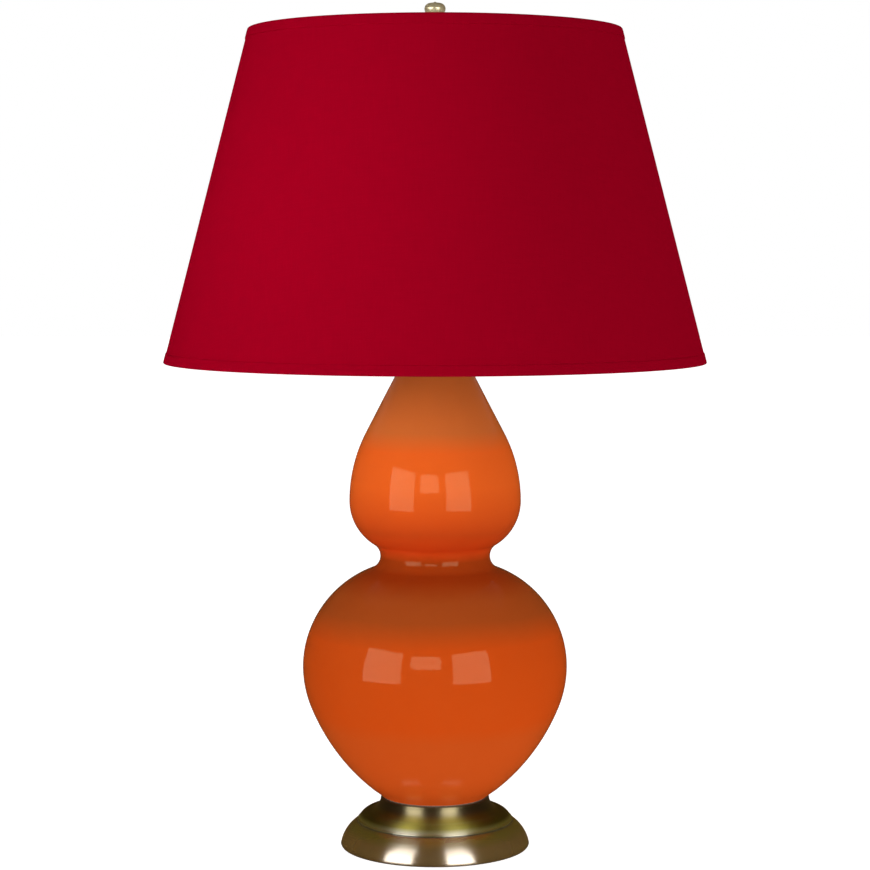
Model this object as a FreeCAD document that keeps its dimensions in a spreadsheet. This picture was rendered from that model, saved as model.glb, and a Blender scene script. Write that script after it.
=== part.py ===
"""Table lamp with a glazed ceramic double gourd on a spun brass foot.

Millimetres, +Z up. The origin is the middle of the foot's underside, where
the lamp's axis meets the table. The harp stands in the XZ plane, the switch
points to -Y and the cord inlet to +Y. The lamp is a stack on one threaded
pipe, so each piece takes its level from the sizes of the pieces under it.
"""
import FreeCAD, Part
import Sketcher
import math
import os
import re

V = FreeCAD.Vector
doc = FreeCAD.newDocument("double_gourd_lamp")
sheet = doc.addObject("Spreadsheet::Sheet", "Sizes")

# Driving dimensions: alias, value in mm, what it is.
SIZES = [
    # foot
    ("felt_thickness", 2.0, "felt pad under the foot"),
    ("felt_margin", 3.0, "felt edge inside the rim of the foot shell"),
    ("foot_height", 47.0, "top of the foot shell above the table"),
    ("foot_shell_wall", 1.5, "spun brass of the foot shell"),
    ("foot_rim_lift", 0.8, "rim of the foot shell above the table"),
    ("foot_rim_height", 1.7, "upright lip round the rim"),
    ("collar_margin", 1.6, "collar of the foot outside the gourd's foot ring"),
    ("collar_edge", 1.5, "rounding at the top of the collar"),
    ("cove_width", 10.6, "width of the cove below the collar"),
    ("cove_depth", 13.0, "depth of the cove"),
    ("cove_arc", 12.6, "radius of the cove's section"),
    ("shoulder_width", 10.1, "width of the shoulder below the cove"),
    ("shoulder_depth", 7.3, "drop of the shoulder"),
    ("shoulder_arc", 13.0, "radius of the shoulder's section"),
    ("bead_size", 1.3, "raised line at the foot of the shoulder"),
    ("groove_size", 0.7, "sunk line below the bead"),
    ("dome_width", 17.0, "width of the dome from the bead to the rim"),
    ("dome_arc", 32.3, "radius of the dome's section"),
    ("weight_thickness", 14.0, "cast disc inside the foot"),
    ("weight_reach", 4.0, "edge of the cast disc outside the bead"),
    ("weight_hub_radius", 16.0, "hub of the cast weight"),
    ("recess_radius", 13.0, "recess for the nut under the weight"),
    ("recess_depth", 10.0, "depth of the recess"),
    ("cord_channel_width", 9.0, "channel for the cord under the weight"),
    ("cord_channel_height", 12.0, "height of that channel"),
    ("inlet_height", 9.0, "axis of the cord inlet above the table"),
    ("inlet_bore_radius", 3.9, "bore of the cord inlet"),
    ("inlet_hole_radius", 5.0, "hole in the foot shell for the bushing"),
    ("inlet_flange_radius", 6.2, "flanges of the bushing"),
    ("inlet_proud", 1.6, "bushing outside the widest part of the foot"),
    ("inlet_inside", 7.0, "bushing inside the widest part of the foot"),
    # pipe and its fasteners
    ("pipe_radius", 4.9, "threaded lamp pipe, outside"),
    ("pipe_bore_radius", 3.25, "wire way through the pipe"),
    ("pipe_clearance", 0.2, "holes round the pipe"),
    ("pipe_tail", 2.0, "pipe below the nut"),
    ("pipe_grip", 9.0, "pipe inside the socket cap"),
    ("washer_radius", 9.5, "lock washer"),
    ("washer_thickness", 1.0, "lock washer"),
    ("nut_across_flats", 14.3, "hexagon nut on the pipe"),
    ("nut_height", 5.0, "hexagon nut on the pipe"),
    ("check_nut_height", 2.6, "thin nut between saddle and socket"),
    # ceramic gourd
    ("foot_gasket_thickness", 1.0, "gasket between foot and gourd"),
    ("gourd_wall", 5.5, "wall of the ceramic"),
    ("gourd_foot_radius", 49.4, "ring that the gourd stands on"),
    ("belly_height", 122.5, "widest line of the lower lobe above its foot ring"),
    ("belly_radius", 123.6, "lower lobe"),
    ("flank_drop", 36.9, "steep flank below the widest line"),
    ("flank_inset", 7.04, "how far the flank draws in over that drop"),
    ("waist_rise", 104.25, "waist above the widest line of the lower lobe"),
    ("waist_radius", 51.24, "waist"),
    ("waist_arc", 13.0, "radius of the waist's section"),
    ("head_rise", 51.95, "widest line of the upper lobe above the waist"),
    ("head_radius", 80.06, "upper lobe"),
    ("brow_rise", 63.07, "round part of the upper lobe above its widest line"),
    ("brow_inset", 15.42, "how far it draws in over that rise"),
    ("neck_rise", 139.3, "top of the neck above the widest line"),
    ("neck_radius", 25.1, "top of the neck"),
    # cap, spindle and saddle
    ("neck_gasket_thickness", 0.8, "gasket between neck and vase cap"),
    ("cap_overhang", 1.4, "vase cap outside the neck"),
    ("cap_lip_height", 1.8, "upright lip of the vase cap"),
    ("cap_height", 8.0, "vase cap"),
    ("cap_wall", 1.2, "spun brass of the vase cap"),
    ("cap_seat_radius", 9.0, "flat on top of the vase cap"),
    ("cap_arc", 34.0, "radius of the vase cap's section"),
    ("spindle_height", 11.0, "turned spindle above the vase cap"),
    ("spindle_radius", 8.5, "ends of the spindle"),
    ("spindle_waist", 6.6, "waist of the spindle"),
    ("spindle_end_height", 2.2, "upright band at each end of the spindle"),
    ("spindle_waist_height", 2.2, "straight part of its waist"),
    ("saddle_thickness", 1.6, "steel strip of the harp saddle"),
    ("saddle_width", 12.0, "width of that strip"),
    ("saddle_ear", 3.0, "upturned ear of the saddle"),
    ("tongue_width", 4.4, "tongue on top of each ear"),
    ("tongue_height", 14.0, "height of that tongue"),
    # harp
    ("harp_leg_offset", 26.0, "harp legs from the lamp's axis"),
    ("harp_wire_radius", 2.0, "wire of the harp"),
    ("harp_rise", 257.6, "top wire above the saddle"),
    ("harp_bow", 31.0, "how far each side bows out from its leg"),
    ("harp_bow_rise", 97.6, "widest place of the harp above the saddle"),
    ("harp_leg_rise", 32.6, "bend of the leg above the saddle"),
    ("harp_top_half", 36.0, "corner of the top from the lamp's axis"),
    ("harp_leg_bend", 40.0, "bend radius at the leg"),
    ("harp_bow_bend", 60.0, "bend radius at the widest place"),
    ("harp_top_bend", 28.0, "bend radius at the top corner"),
    ("ferrule_radius", 3.2, "swaged end of the leg"),
    ("ferrule_length", 16.0, "length of the swaged end"),
    ("ferrule_depth", 14.2, "slot in the swaged end"),
    ("slide_gap", 0.3, "gap round pieces that slide or turn"),
    ("sleeve_wall", 1.1, "wall of the locking sleeve"),
    ("sleeve_length", 13.0, "length of the locking sleeve"),
    ("stud_collar_radius", 6.0, "collar round the wire at the harp's top"),
    ("stud_collar_cover", 1.4, "metal over and under the wire"),
    ("stud_radius", 3.175, "threaded stud"),
    ("stud_length", 14.6, "stud above its collar"),
    # socket
    ("socket_neck_radius", 7.2, "neck of the socket cap"),
    ("socket_neck_height", 7.0, "neck of the socket cap"),
    ("socket_flare_height", 6.0, "flare of the socket cap"),
    ("socket_cup_height", 10.0, "cup of the socket cap"),
    ("socket_wall", 0.7, "brass of the socket"),
    ("socket_radius", 16.75, "socket shell, outside"),
    ("socket_overlap", 8.0, "shell inside the cup"),
    ("socket_shell_height", 47.0, "socket shell"),
    ("insulator_wall", 0.8, "fibre sleeve inside the shell"),
    ("insulator_short", 0.6, "sleeve below the shell's mouth"),
    ("switch_block_radius", 15.0, "moulded block in the socket"),
    ("switch_block_height", 22.0, "moulded block in the socket"),
    ("screw_shell_radius", 13.2, "threaded shell, inside"),
    ("screw_shell_wall", 0.4, "threaded shell"),
    ("screw_shell_height", 24.0, "threaded shell"),
    ("contact_radius", 4.0, "centre contact"),
    ("contact_height", 1.6, "centre contact"),
    ("set_screw_radius", 1.5, "screw through the cap's neck"),
    ("set_screw_length", 4.4, "screw through the cap's neck"),
    ("terminal_flat", 12.0, "flats of the block from the axis"),
    ("terminal_flat_width", 12.0, "width of those flats"),
    ("terminal_flat_height", 14.0, "height of those flats"),
    ("terminal_head_radius", 3.0, "head of a terminal screw"),
    ("terminal_head_height", 2.0, "head of a terminal screw"),
    ("terminal_shank_radius", 1.5, "shank of a terminal screw"),
    ("terminal_shank_length", 5.0, "shank of a terminal screw"),
    # switch
    ("switch_height", 12.5, "switch axis above the block's foot"),
    ("switch_shaft_radius", 2.0, "switch shaft"),
    ("switch_shaft_start", 6.0, "inner end of the shaft from the axis"),
    ("switch_shaft_length", 24.0, "switch shaft"),
    ("switch_fit", 0.05, "running fit of the shaft"),
    ("switch_window_radius", 3.0, "hole in shell and sleeve for the shaft"),
    ("knob_start", 21.0, "inner end of the knob from the axis"),
    ("knob_length", 14.0, "knob"),
    ("knob_small_radius", 4.6, "inner end of the knob"),
    ("knob_large_radius", 6.2, "outer end of the knob"),
    # bulb
    ("bulb_seat_gap", 0.3, "bulb above the centre contact"),
    ("bulb_contact_radius", 4.0, "contact under the bulb"),
    ("bulb_contact_height", 1.2, "contact under the bulb"),
    ("bulb_insulator_radius", 9.5, "top of the glass button round the contact"),
    ("bulb_insulator_height", 3.5, "glass button"),
    ("bulb_screw_height", 19.0, "threaded cap of the bulb"),
    ("bulb_screw_wall", 0.4, "threaded cap of the bulb"),
    ("bulb_screw_taper", 1.9, "height over which the cap widens from the button"),
    ("bulb_neck_in_cap", 12.0, "glass inside the threaded cap"),
    ("bulb_neck_radius", 12.2, "glass neck"),
    ("bulb_neck_rise", 22.0, "flare of the glass above the cap"),
    ("bulb_flare_radius", 21.0, "glass at the top of the flare"),
    ("bulb_flare_arc", 46.0, "radius of the flare's section"),
    ("bulb_globe_radius", 30.0, "globe of the bulb"),
    ("bulb_globe_rise", 21.5, "globe's middle above the flare"),
    ("bulb_wall", 0.8, "glass"),
    ("stem_height", 40.0, "glass stem in the bulb"),
    ("stem_foot_radius", 10.8, "foot of the stem"),
    ("stem_taper", 13.3, "height over which the stem narrows"),
    ("stem_radius", 4.2, "top of the stem"),
    ("filament_radius", 0.4, "wire of the filament"),
    ("filament_foot", 2.6, "wires where they leave the stem"),
    ("filament_half", 9.0, "half the width of the filament"),
    ("filament_rise", 18.0, "filament above the stem"),
    ("filament_lead", 4.0, "upright part of the wires"),
    ("filament_bend", 3.0, "bend radius of the wires"),
    # shade
    ("shade_top_radius", 172.0, "top rim, over the trim"),
    ("shade_bottom_radius", 251.6, "bottom rim, over the trim"),
    ("shade_height", 305.4, "rim plane to rim plane"),
    ("trim_thickness", 0.5, "folded hem at both rims"),
    ("trim_width", 9.5, "folded hem at both rims"),
    ("fabric_thickness", 0.6, "cloth of the shade"),
    ("liner_thickness", 0.8, "stiff liner behind the cloth"),
    ("ring_wire_radius", 1.6, "wire of both rings"),
    ("spider_drop", 11.9, "spider below the top rim"),
    ("hub_radius", 11.0, "washer of the spider"),
    ("hub_thickness", 1.6, "washer of the spider"),
    ("hub_hole_radius", 3.6, "hole for the stud"),
    ("arm_wire_radius", 1.5, "arms of the spider"),
    ("arm_flat", 19.0, "level part of each arm next to the washer"),
    ("arm_bend", 60.0, "bend radius of each arm"),
    # finial
    ("finial_foot_radius", 8.0, "foot of the finial"),
    ("finial_foot_height", 2.4, "foot of the finial"),
    ("finial_waist_radius", 5.2, "waist of the finial"),
    ("finial_base_height", 12.2, "turned base of the finial"),
    ("finial_seat_radius", 6.4, "top of the turned base"),
    ("finial_seat_height", 1.0, "upright band at the top of the turned base"),
    ("finial_bore_radius", 3.25, "threaded bore of the finial"),
    ("finial_bore_extra", 1.0, "bore above the end of the stud"),
    ("finial_neck_radius", 4.9, "neck under the knob"),
    ("finial_neck_height", 10.0, "neck under the knob"),
    ("finial_knob_radius", 9.75, "knob at its widest"),
    ("finial_knob_rise", 8.0, "widest place above the neck"),
    ("finial_knob_under_arc", 9.5, "radius of the knob's underside"),
    ("finial_crown_height", 4.4, "crown of the knob above its widest place"),
    ("finial_crown_arc", 5.6, "radius of the crown's section"),
    ("finial_tip_radius", 1.9, "tip on top of the knob"),
    ("finial_tip_height", 1.6, "tip on top of the knob"),
]
ARM_COUNT = 3
FIRST_ARM = 90
SIDES = {"left": -1, "right": 1}
ALIASES = {alias for alias, value, note in SIZES}

sheet.set("A1", "what it is")
sheet.set("B1", "mm")
for row, (alias, value, note) in enumerate(SIZES, start=2):
    sheet.set(f"A{row}", note)
    sheet.set(f"B{row}", str(value))
    sheet.setAlias(f"B{row}", alias)
doc.recompute()

nodes = []


def in_sheet(formula):
    """Put the sheet's name before every alias in a formula."""
    return re.sub(r"[a-z_]+", lambda word: f"Sizes.{word[0]}" if word[0] in ALIASES else word[0], formula)


def number(formula):
    return float(sheet.evalExpression(in_sheet(formula)))


def bind(item, **formulas):
    """Bind properties to formulas of aliases; x, y and z are the placement."""
    for key, formula in formulas.items():
        prop = f"Placement.Base.{key}" if key in "xyz" else key
        item.setExpression(prop, in_sheet(formula))
    return item


def keep(item, name):
    """Make this object a sub-part with its own name."""
    item.Label = name
    nodes.append(item)
    return item


# ---------------------------------------------------------------- levels
FELT_TOP = "felt_thickness"
RECESS_TOP = "(felt_thickness + recess_depth)"
NUT_TOP = f"({RECESS_TOP} - washer_thickness)"
GOURD_FOOT = "(foot_height + foot_gasket_thickness)"
GOURD_HEIGHT = "(belly_height + waist_rise + head_rise + neck_rise)"
NECK_TOP = f"({GOURD_FOOT} + {GOURD_HEIGHT})"
CAP_FOOT = f"({NECK_TOP} + neck_gasket_thickness)"
SPINDLE_FOOT = f"({CAP_FOOT} + cap_height)"
SADDLE_FOOT = f"({SPINDLE_FOOT} + spindle_height)"
SADDLE_TOP = f"({SADDLE_FOOT} + saddle_thickness)"
SOCKET_FOOT = f"({SADDLE_TOP} + check_nut_height)"
CUP_FOOT = f"({SOCKET_FOOT} + socket_neck_height + socket_flare_height)"
SHELL_FOOT = f"({CUP_FOOT} + socket_cup_height - socket_overlap)"
BLOCK_TOP = f"({SHELL_FOOT} + switch_block_height)"
SWITCH_AXIS = f"({SHELL_FOOT} + switch_height)"
BULB_FOOT = f"({BLOCK_TOP} + contact_height + bulb_seat_gap)"
SCREW_FOOT = f"({BULB_FOOT} + bulb_contact_height + bulb_insulator_height)"
SCREW_TOP = f"({SCREW_FOOT} + bulb_screw_height)"
STEM_FOOT = f"({SCREW_TOP} - bulb_neck_in_cap)"
EAR_TOP = f"({SADDLE_TOP} + saddle_ear)"
HARP_TOP = f"({SADDLE_TOP} + harp_rise)"
COLLAR_TOP = f"({HARP_TOP} + harp_wire_radius + stud_collar_cover)"
HUB_FOOT = f"({COLLAR_TOP} + slide_gap)"
HUB_MIDDLE = f"({HUB_FOOT} + hub_thickness / 2)"
FINIAL_FOOT = f"({HUB_FOOT} + hub_thickness + slide_gap)"
SHADE_TOP = f"({HUB_MIDDLE} + spider_drop)"
SHADE_BOTTOM = f"({SHADE_TOP} - shade_height)"

# ---------------------------------------------------------------- radii
PIPE_HOLE = "(pipe_radius + pipe_clearance)"
COLLAR = "(gourd_foot_radius + collar_margin)"
COVE_END = f"({COLLAR} + cove_width)"
BEAD = f"({COVE_END} + shoulder_width)"
FOOT_RADIUS = f"({BEAD} + dome_width)"
BULB_SCREW = "(screw_shell_radius - slide_gap)"
SLEEVE_BORE = "(ferrule_radius + slide_gap)"


# ---------------------------------------------------------------- drawing
def fix_point(sketch, name, geometry, end, across, up):
    """Hold one end of an edge, or a point, at two formulas."""
    for axis, kind, formula in ((-2, "DistanceX", across), (-1, "DistanceY", up)):
        if formula == "0":
            sketch.addConstraint(Sketcher.Constraint("PointOnObject", geometry, end, axis))
            continue
        index = sketch.addConstraint(
            Sketcher.Constraint(kind, -1, 1, geometry, end, number(formula)))
        label = f"{name}_{'across' if axis == -2 else 'up'}"
        sketch.renameConstraint(index, label)
        sketch.setExpression(f"Constraints.{label}", in_sheet(formula))


def fix_radius(sketch, name, geometry, formula):
    index = sketch.addConstraint(Sketcher.Constraint("Radius", geometry, number(formula)))
    sketch.renameConstraint(index, name)
    sketch.setExpression(f"Constraints.{name}", in_sheet(formula))


def arc_between(start, finish, radius, turn):
    """Arc of under a half circle that turns left (1) or right (-1) on its way."""
    chord = finish - start
    normal = V(-chord.y, chord.x, 0) / chord.Length
    reach = math.sqrt(max(radius ** 2 - (chord.Length / 2) ** 2, 0))
    centre = (start + finish) / 2 + normal * reach * turn
    first, last = (start, finish) if turn > 0 else (finish, start)
    angles = [math.atan2(p.y - centre.y, p.x - centre.x) for p in (first, last)]
    return Part.ArcOfCircle(Part.Circle(centre, V(0, 0, 1), radius), *angles)


def draw_outline(sketch, corners, rounds):
    """Closed outline; rounds gives the round edges as {edge: (radius, turn)}."""
    points = [V(number(across), number(up), 0) for across, up in corners]
    count = len(points)
    for edge in range(count):
        start, finish = points[edge], points[(edge + 1) % count]
        if edge in rounds:
            radius, turn = rounds[edge]
            sketch.addGeometry(arc_between(start, finish, number(radius), turn))
        else:
            sketch.addGeometry(Part.LineSegment(start, finish))
    starts = [2 if edge in rounds and rounds[edge][1] < 0 else 1 for edge in range(count)]
    for edge in range(count):
        following = (edge + 1) % count
        sketch.addConstraint(Sketcher.Constraint(
            "Coincident", edge, 3 - starts[edge], following, starts[following]))
    for edge, (across, up) in enumerate(corners):
        fix_point(sketch, f"corner{edge}", edge, starts[edge], across, up)
    for edge, (radius, turn) in rounds.items():
        fix_radius(sketch, f"round{edge}", edge, radius)


def draw_bent_path(sketch, corners, bends):
    """Open path of straight runs with a tangent arc at each inner corner."""
    points = [V(number(across), number(up), 0) for across, up in corners]
    radii = [number(bend) for bend in bends]
    starts, ends, arcs = [points[0]], [], []
    for before, corner, after, radius in zip(points, points[1:], points[2:], radii):
        inward, outward = (corner - before).normalize(), (after - corner).normalize()
        turn = 1 if inward.cross(outward).z > 0 else -1
        reach = radius * math.tan(inward.getAngle(outward) / 2)
        ends.append(corner - inward * reach)
        starts.append(corner + outward * reach)
        arcs.append((arc_between(ends[-1], starts[-1], radius, turn), turn))
    ends.append(points[-1])
    lines = [sketch.addGeometry(Part.LineSegment(a, b)) for a, b in zip(starts, ends)]
    for place, (arc, turn) in enumerate(arcs):
        bend = sketch.addGeometry(arc)
        first, last = (1, 2) if turn > 0 else (2, 1)
        before, after = lines[place], lines[place + 1]
        sketch.addConstraint(Sketcher.Constraint("Tangent", before, 2, bend, first))
        sketch.addConstraint(Sketcher.Constraint("Tangent", bend, last, after, 1))
        fix_radius(sketch, f"bend{place}", bend, bends[place])
        mark = sketch.addGeometry(Part.Point(points[place + 1]), True)
        sketch.addConstraint(Sketcher.Constraint("PointOnObject", mark, 1, before))
        sketch.addConstraint(Sketcher.Constraint("PointOnObject", mark, 1, after))
        fix_point(sketch, f"corner{place + 1}", mark, 1, *corners[place + 1])
    fix_point(sketch, "start", lines[0], 1, *corners[0])
    fix_point(sketch, "finish", lines[-1], 2, *corners[-1])


# ---------------------------------------------------------------- makers
def turned(name, corners, rounds=None, level="0"):
    """Body turned about the lamp's axis from an outline of (radius, height)."""
    body = doc.addObject("PartDesign::Body", name)
    sketch = body.newObject("Sketcher::SketchObject", f"{name}_outline")
    plane = [item for item in body.Origin.OriginFeatures if item.Role == "XZ_Plane"]
    sketch.AttachmentSupport = [(plane[0], "")]
    sketch.MapMode = "FlatFace"
    draw_outline(sketch, corners, rounds or {})
    turn = body.newObject("PartDesign::Revolution", f"{name}_turned")
    turn.Profile = sketch
    turn.ReferenceAxis = (sketch, ["V_Axis"])
    turn.Angle = 360
    return bind(body, z=level)


def rod(name, radius, height, axis="Z", **place):
    """Solid cylinder along +Z, +X, +Y or -Y from its place."""
    item = bind(doc.addObject("Part::Cylinder", name), Radius=radius, Height=height)
    turns = {"Z": (V(0, 0, 1), 0), "X": (V(0, 1, 0), 90), "Y": (V(1, 0, 0), -90), "-Y": (V(1, 0, 0), 90)}
    item.Placement = FreeCAD.Placement(V(0, 0, 0), FreeCAD.Rotation(*turns[axis]))
    return bind(item, **place)


def block(name, length, width, height, **place):
    item = doc.addObject("Part::Box", name)
    return bind(item, Length=length, Width=width, Height=height, **place)


def cut(name, base, *tools):
    """Base with every tool taken away."""
    for place, tool in enumerate(tools):
        last = place == len(tools) - 1
        item = doc.addObject("Part::Cut", name if last else f"{name}_cut{place}")
        item.Base = base
        item.Tool = tool
        base = item
    return base


def fuse(name, *items):
    item = doc.addObject("Part::MultiFuse", name)
    item.Shapes = list(items)
    item.Refine = True
    return item


def ring(name, outer, inner, height, level):
    """Flat ring or tube about the lamp's axis."""
    solid = rod(f"{name}_outer", outer, height, z=level)
    bore = rod(f"{name}_bore", inner, height, z=level)
    return keep(cut(name, solid, bore), name)


def bent_wire(name, radius, corners, bends, axis="Z"):
    """Round wire along straight runs and bends in the XZ plane."""
    path = doc.addObject("Sketcher::SketchObject", f"{name}_path")
    path.Placement = FreeCAD.Placement(V(0, 0, 0), FreeCAD.Rotation(V(1, 0, 0), 90))
    draw_bent_path(path, corners, bends)
    section = bind(doc.addObject("Part::Circle", f"{name}_section"), Radius=radius)
    turns = {"Z": 0, "X": 90}
    section.Placement = FreeCAD.Placement(V(0, 0, 0), FreeCAD.Rotation(V(0, 1, 0), turns[axis]))
    bind(section, x=corners[0][0], z=corners[0][1])
    wire = doc.addObject("Part::Sweep", name)
    wire.Sections = [section]
    wire.Spine = path
    wire.Solid = True
    return wire


# ---------------------------------------------------------------- foot
def make_foot():
    felt = f"({FOOT_RADIUS} - foot_shell_wall - felt_margin)"
    keep(rod("foot_felt", felt, "felt_thickness"), "foot_felt")

    rim = "(foot_rim_lift + foot_rim_height)"
    cove_level = "(foot_height - cove_depth)"
    bead_level = f"({cove_level} - shoulder_depth)"
    dome_start = (f"({BEAD} + bead_size - groove_size)", f"({bead_level} - bead_size - groove_size)")
    inner_top = "(foot_height - foot_shell_wall)"
    inner_rim = f"({FOOT_RADIUS} - foot_shell_wall)"
    shell = turned("foot_shell_spun", [
        (PIPE_HOLE, inner_top),
        (PIPE_HOLE, "foot_height"),
        (f"({COLLAR} - collar_edge)", "foot_height"),
        (COLLAR, "foot_height - collar_edge"),
        (COVE_END, cove_level),
        (BEAD, bead_level),
        (f"({BEAD} + bead_size)", f"({bead_level} - bead_size)"),
        dome_start,
        (FOOT_RADIUS, rim),
        (FOOT_RADIUS, "foot_rim_lift"),
        (inner_rim, "foot_rim_lift"),
        (inner_rim, rim),
        (f"({BEAD} - foot_shell_wall)", f"({bead_level} - bead_size - foot_shell_wall)"),
        (f"({COVE_END} - foot_shell_wall)", f"({cove_level} - foot_shell_wall)"),
        (f"({COLLAR} - foot_shell_wall)", f"({inner_top} - collar_edge)"),
        (f"({COLLAR} - foot_shell_wall - collar_edge)", inner_top),
    ], {
        2: ("collar_edge", -1),
        3: ("cove_arc", 1),
        4: ("shoulder_arc", -1),
        5: ("bead_size", -1),
        7: ("dome_arc", -1),
        11: ("(dome_arc - foot_shell_wall)", 1),
        13: ("(cove_arc + foot_shell_wall)", -1),
    })
    inlet_hole = rod("foot_shell_inlet", "inlet_hole_radius", FOOT_RADIUS, "Y", z="inlet_height")
    shell = keep(cut("foot_shell", shell, inlet_hole), "foot_shell")

    inside_top = f"({inner_top} - felt_thickness)"
    weight = turned("foot_weight_cast", [
        (PIPE_HOLE, "recess_depth"),
        ("recess_radius", "recess_depth"),
        ("recess_radius", "0"),
        (f"({BEAD} + weight_reach)", "0"),
        (f"({BEAD} + weight_reach)", "weight_thickness"),
        ("weight_hub_radius", "weight_thickness"),
        ("weight_hub_radius", inside_top),
        (PIPE_HOLE, inside_top),
    ], level=FELT_TOP)
    channel = block("foot_weight_channel", "cord_channel_width", FOOT_RADIUS, "cord_channel_height",
                    x="-cord_channel_width / 2", z=FELT_TOP)
    keep(cut("foot_weight", weight, channel), "foot_weight")

    inner_end = f"({FOOT_RADIUS} - inlet_inside)"
    length = "(inlet_proud + inlet_inside)"
    flange = rod("cord_bushing_blank", "inlet_flange_radius", length, "Y", y=inner_end, z="inlet_height")
    bore = rod("cord_bushing_bore", "inlet_bore_radius", length, "Y", y=inner_end, z="inlet_height")
    keep(cut("cord_bushing", flange, bore, shell), "cord_bushing")


# ---------------------------------------------------------------- pipe
def hexagon_nut(name, height, level):
    blank = doc.addObject("Part::Prism", f"{name}_blank")
    blank.Polygon = 6
    bind(blank, Circumradius="nut_across_flats / sqrt(3)", Height=height, z=level)
    thread = rod(f"{name}_thread", "pipe_radius", height, z=level)
    keep(cut(name, blank, thread), name)


def make_pipe():
    foot = f"({NUT_TOP} - nut_height - pipe_tail)"
    ring("lamp_pipe", "pipe_radius", "pipe_bore_radius", f"{SOCKET_FOOT} + pipe_grip - {foot}", foot)
    ring("foot_lock_washer", "washer_radius", PIPE_HOLE, "washer_thickness", NUT_TOP)
    hexagon_nut("foot_nut", "nut_height", f"{NUT_TOP} - nut_height")
    hexagon_nut("check_nut", "check_nut_height", SADDLE_TOP)


# ---------------------------------------------------------------- gourd
def tangent_radius(inset, drop):
    """Arc that leaves the widest line upright and draws in by inset over drop."""
    return f"(({inset}^2 + {drop}^2) / (2 * {inset}))"


def make_gourd():
    ring("foot_gasket", "gourd_foot_radius - foot_gasket_thickness", PIPE_HOLE,
         "foot_gasket_thickness", "foot_height")

    waist_level = "(belly_height + waist_rise)"
    head_level = f"({waist_level} + head_rise)"
    waist_centre = "(waist_radius + waist_arc)"

    # Flank: an arc with its centre level with the widest line, then an arc
    # that carries on from it to the foot ring.
    flank_arc = tangent_radius("flank_inset", "flank_drop")
    join = ("(belly_radius - flank_inset)", "(belly_height - flank_drop)")
    away = f"({join[0]} - gourd_foot_radius)"
    inward = f"(({flank_arc} - flank_inset) / {flank_arc})"
    downward = f"(flank_drop / {flank_arc})"
    leaning = f"({away} * {inward} - {join[1]} * {downward})"
    taper_arc = f"(({away}^2 + {join[1]}^2) / (2 * {leaning}))"

    # Waist: each lobe's arc touches the waist's arc on the line between the
    # two centres.
    def lobe_arc(radius, rise):
        gap = f"({waist_centre} - {radius})"
        return f"(({gap}^2 + {rise}^2 - waist_arc^2) / (2 * (waist_arc - {gap})))"

    def touch(radius, level, arc):
        centre = f"({radius} - {arc})"
        share = f"({arc} / ({arc} + waist_arc))"
        across = f"({centre} + ({waist_centre} - {centre}) * {share})"
        return across, f"({level} + ({waist_level} - {level}) * {share})"

    belly_arc = lobe_arc("belly_radius", "waist_rise")
    head_arc = lobe_arc("head_radius", "head_rise")
    body = turned("gourd_body", [
        ("0", "0"),
        ("gourd_foot_radius", "0"),
        join,
        ("belly_radius", "belly_height"),
        touch("belly_radius", "belly_height", belly_arc),
        touch("head_radius", head_level, head_arc),
        ("head_radius", head_level),
        ("(head_radius - brow_inset)", f"({head_level} + brow_rise)"),
        ("neck_radius", GOURD_HEIGHT),
        ("0", GOURD_HEIGHT),
    ], {
        1: (taper_arc, 1),
        2: (flank_arc, 1),
        3: (belly_arc, 1),
        4: ("waist_arc", -1),
        5: (head_arc, 1),
        6: (tangent_radius("brow_inset", "brow_rise"), 1),
    }, level=GOURD_FOOT)
    doc.recompute()
    solid = body.Tip
    top = [f"Face{place}" for place, face in enumerate(solid.Shape.Faces, start=1)
           if abs(face.CenterOfMass.z - number(GOURD_HEIGHT)) < 0.01]
    hollow = body.newObject("PartDesign::Thickness", "gourd_body_hollow")
    hollow.Base = (solid, top)
    hollow.Reversed = True
    hollow.Join = "Intersection"
    hollow.setExpression("Value", in_sheet("gourd_wall"))
    doc.recompute()
    pipe_hole = body.newObject("Sketcher::SketchObject", "gourd_body_hole_outline")
    plane = [item for item in body.Origin.OriginFeatures if item.Role == "XY_Plane"]
    pipe_hole.AttachmentSupport = [(plane[0], "")]
    pipe_hole.MapMode = "FlatFace"
    circle = pipe_hole.addGeometry(Part.Circle(V(0, 0, 0), V(0, 0, 1), number(PIPE_HOLE)))
    pipe_hole.addConstraint(Sketcher.Constraint("Coincident", circle, 3, -1, 1))
    fix_radius(pipe_hole, "hole_radius", circle, PIPE_HOLE)
    hole = body.newObject("PartDesign::Pocket", "gourd_body_hole")
    hole.Profile = pipe_hole
    hole.Reversed = True
    hole.setExpression("Length", in_sheet("gourd_wall * 2"))
    doc.recompute()
    keep(body, "gourd_body")

    ring("neck_gasket", "neck_radius", "(neck_radius - gourd_wall)", "neck_gasket_thickness", NECK_TOP)


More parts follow.
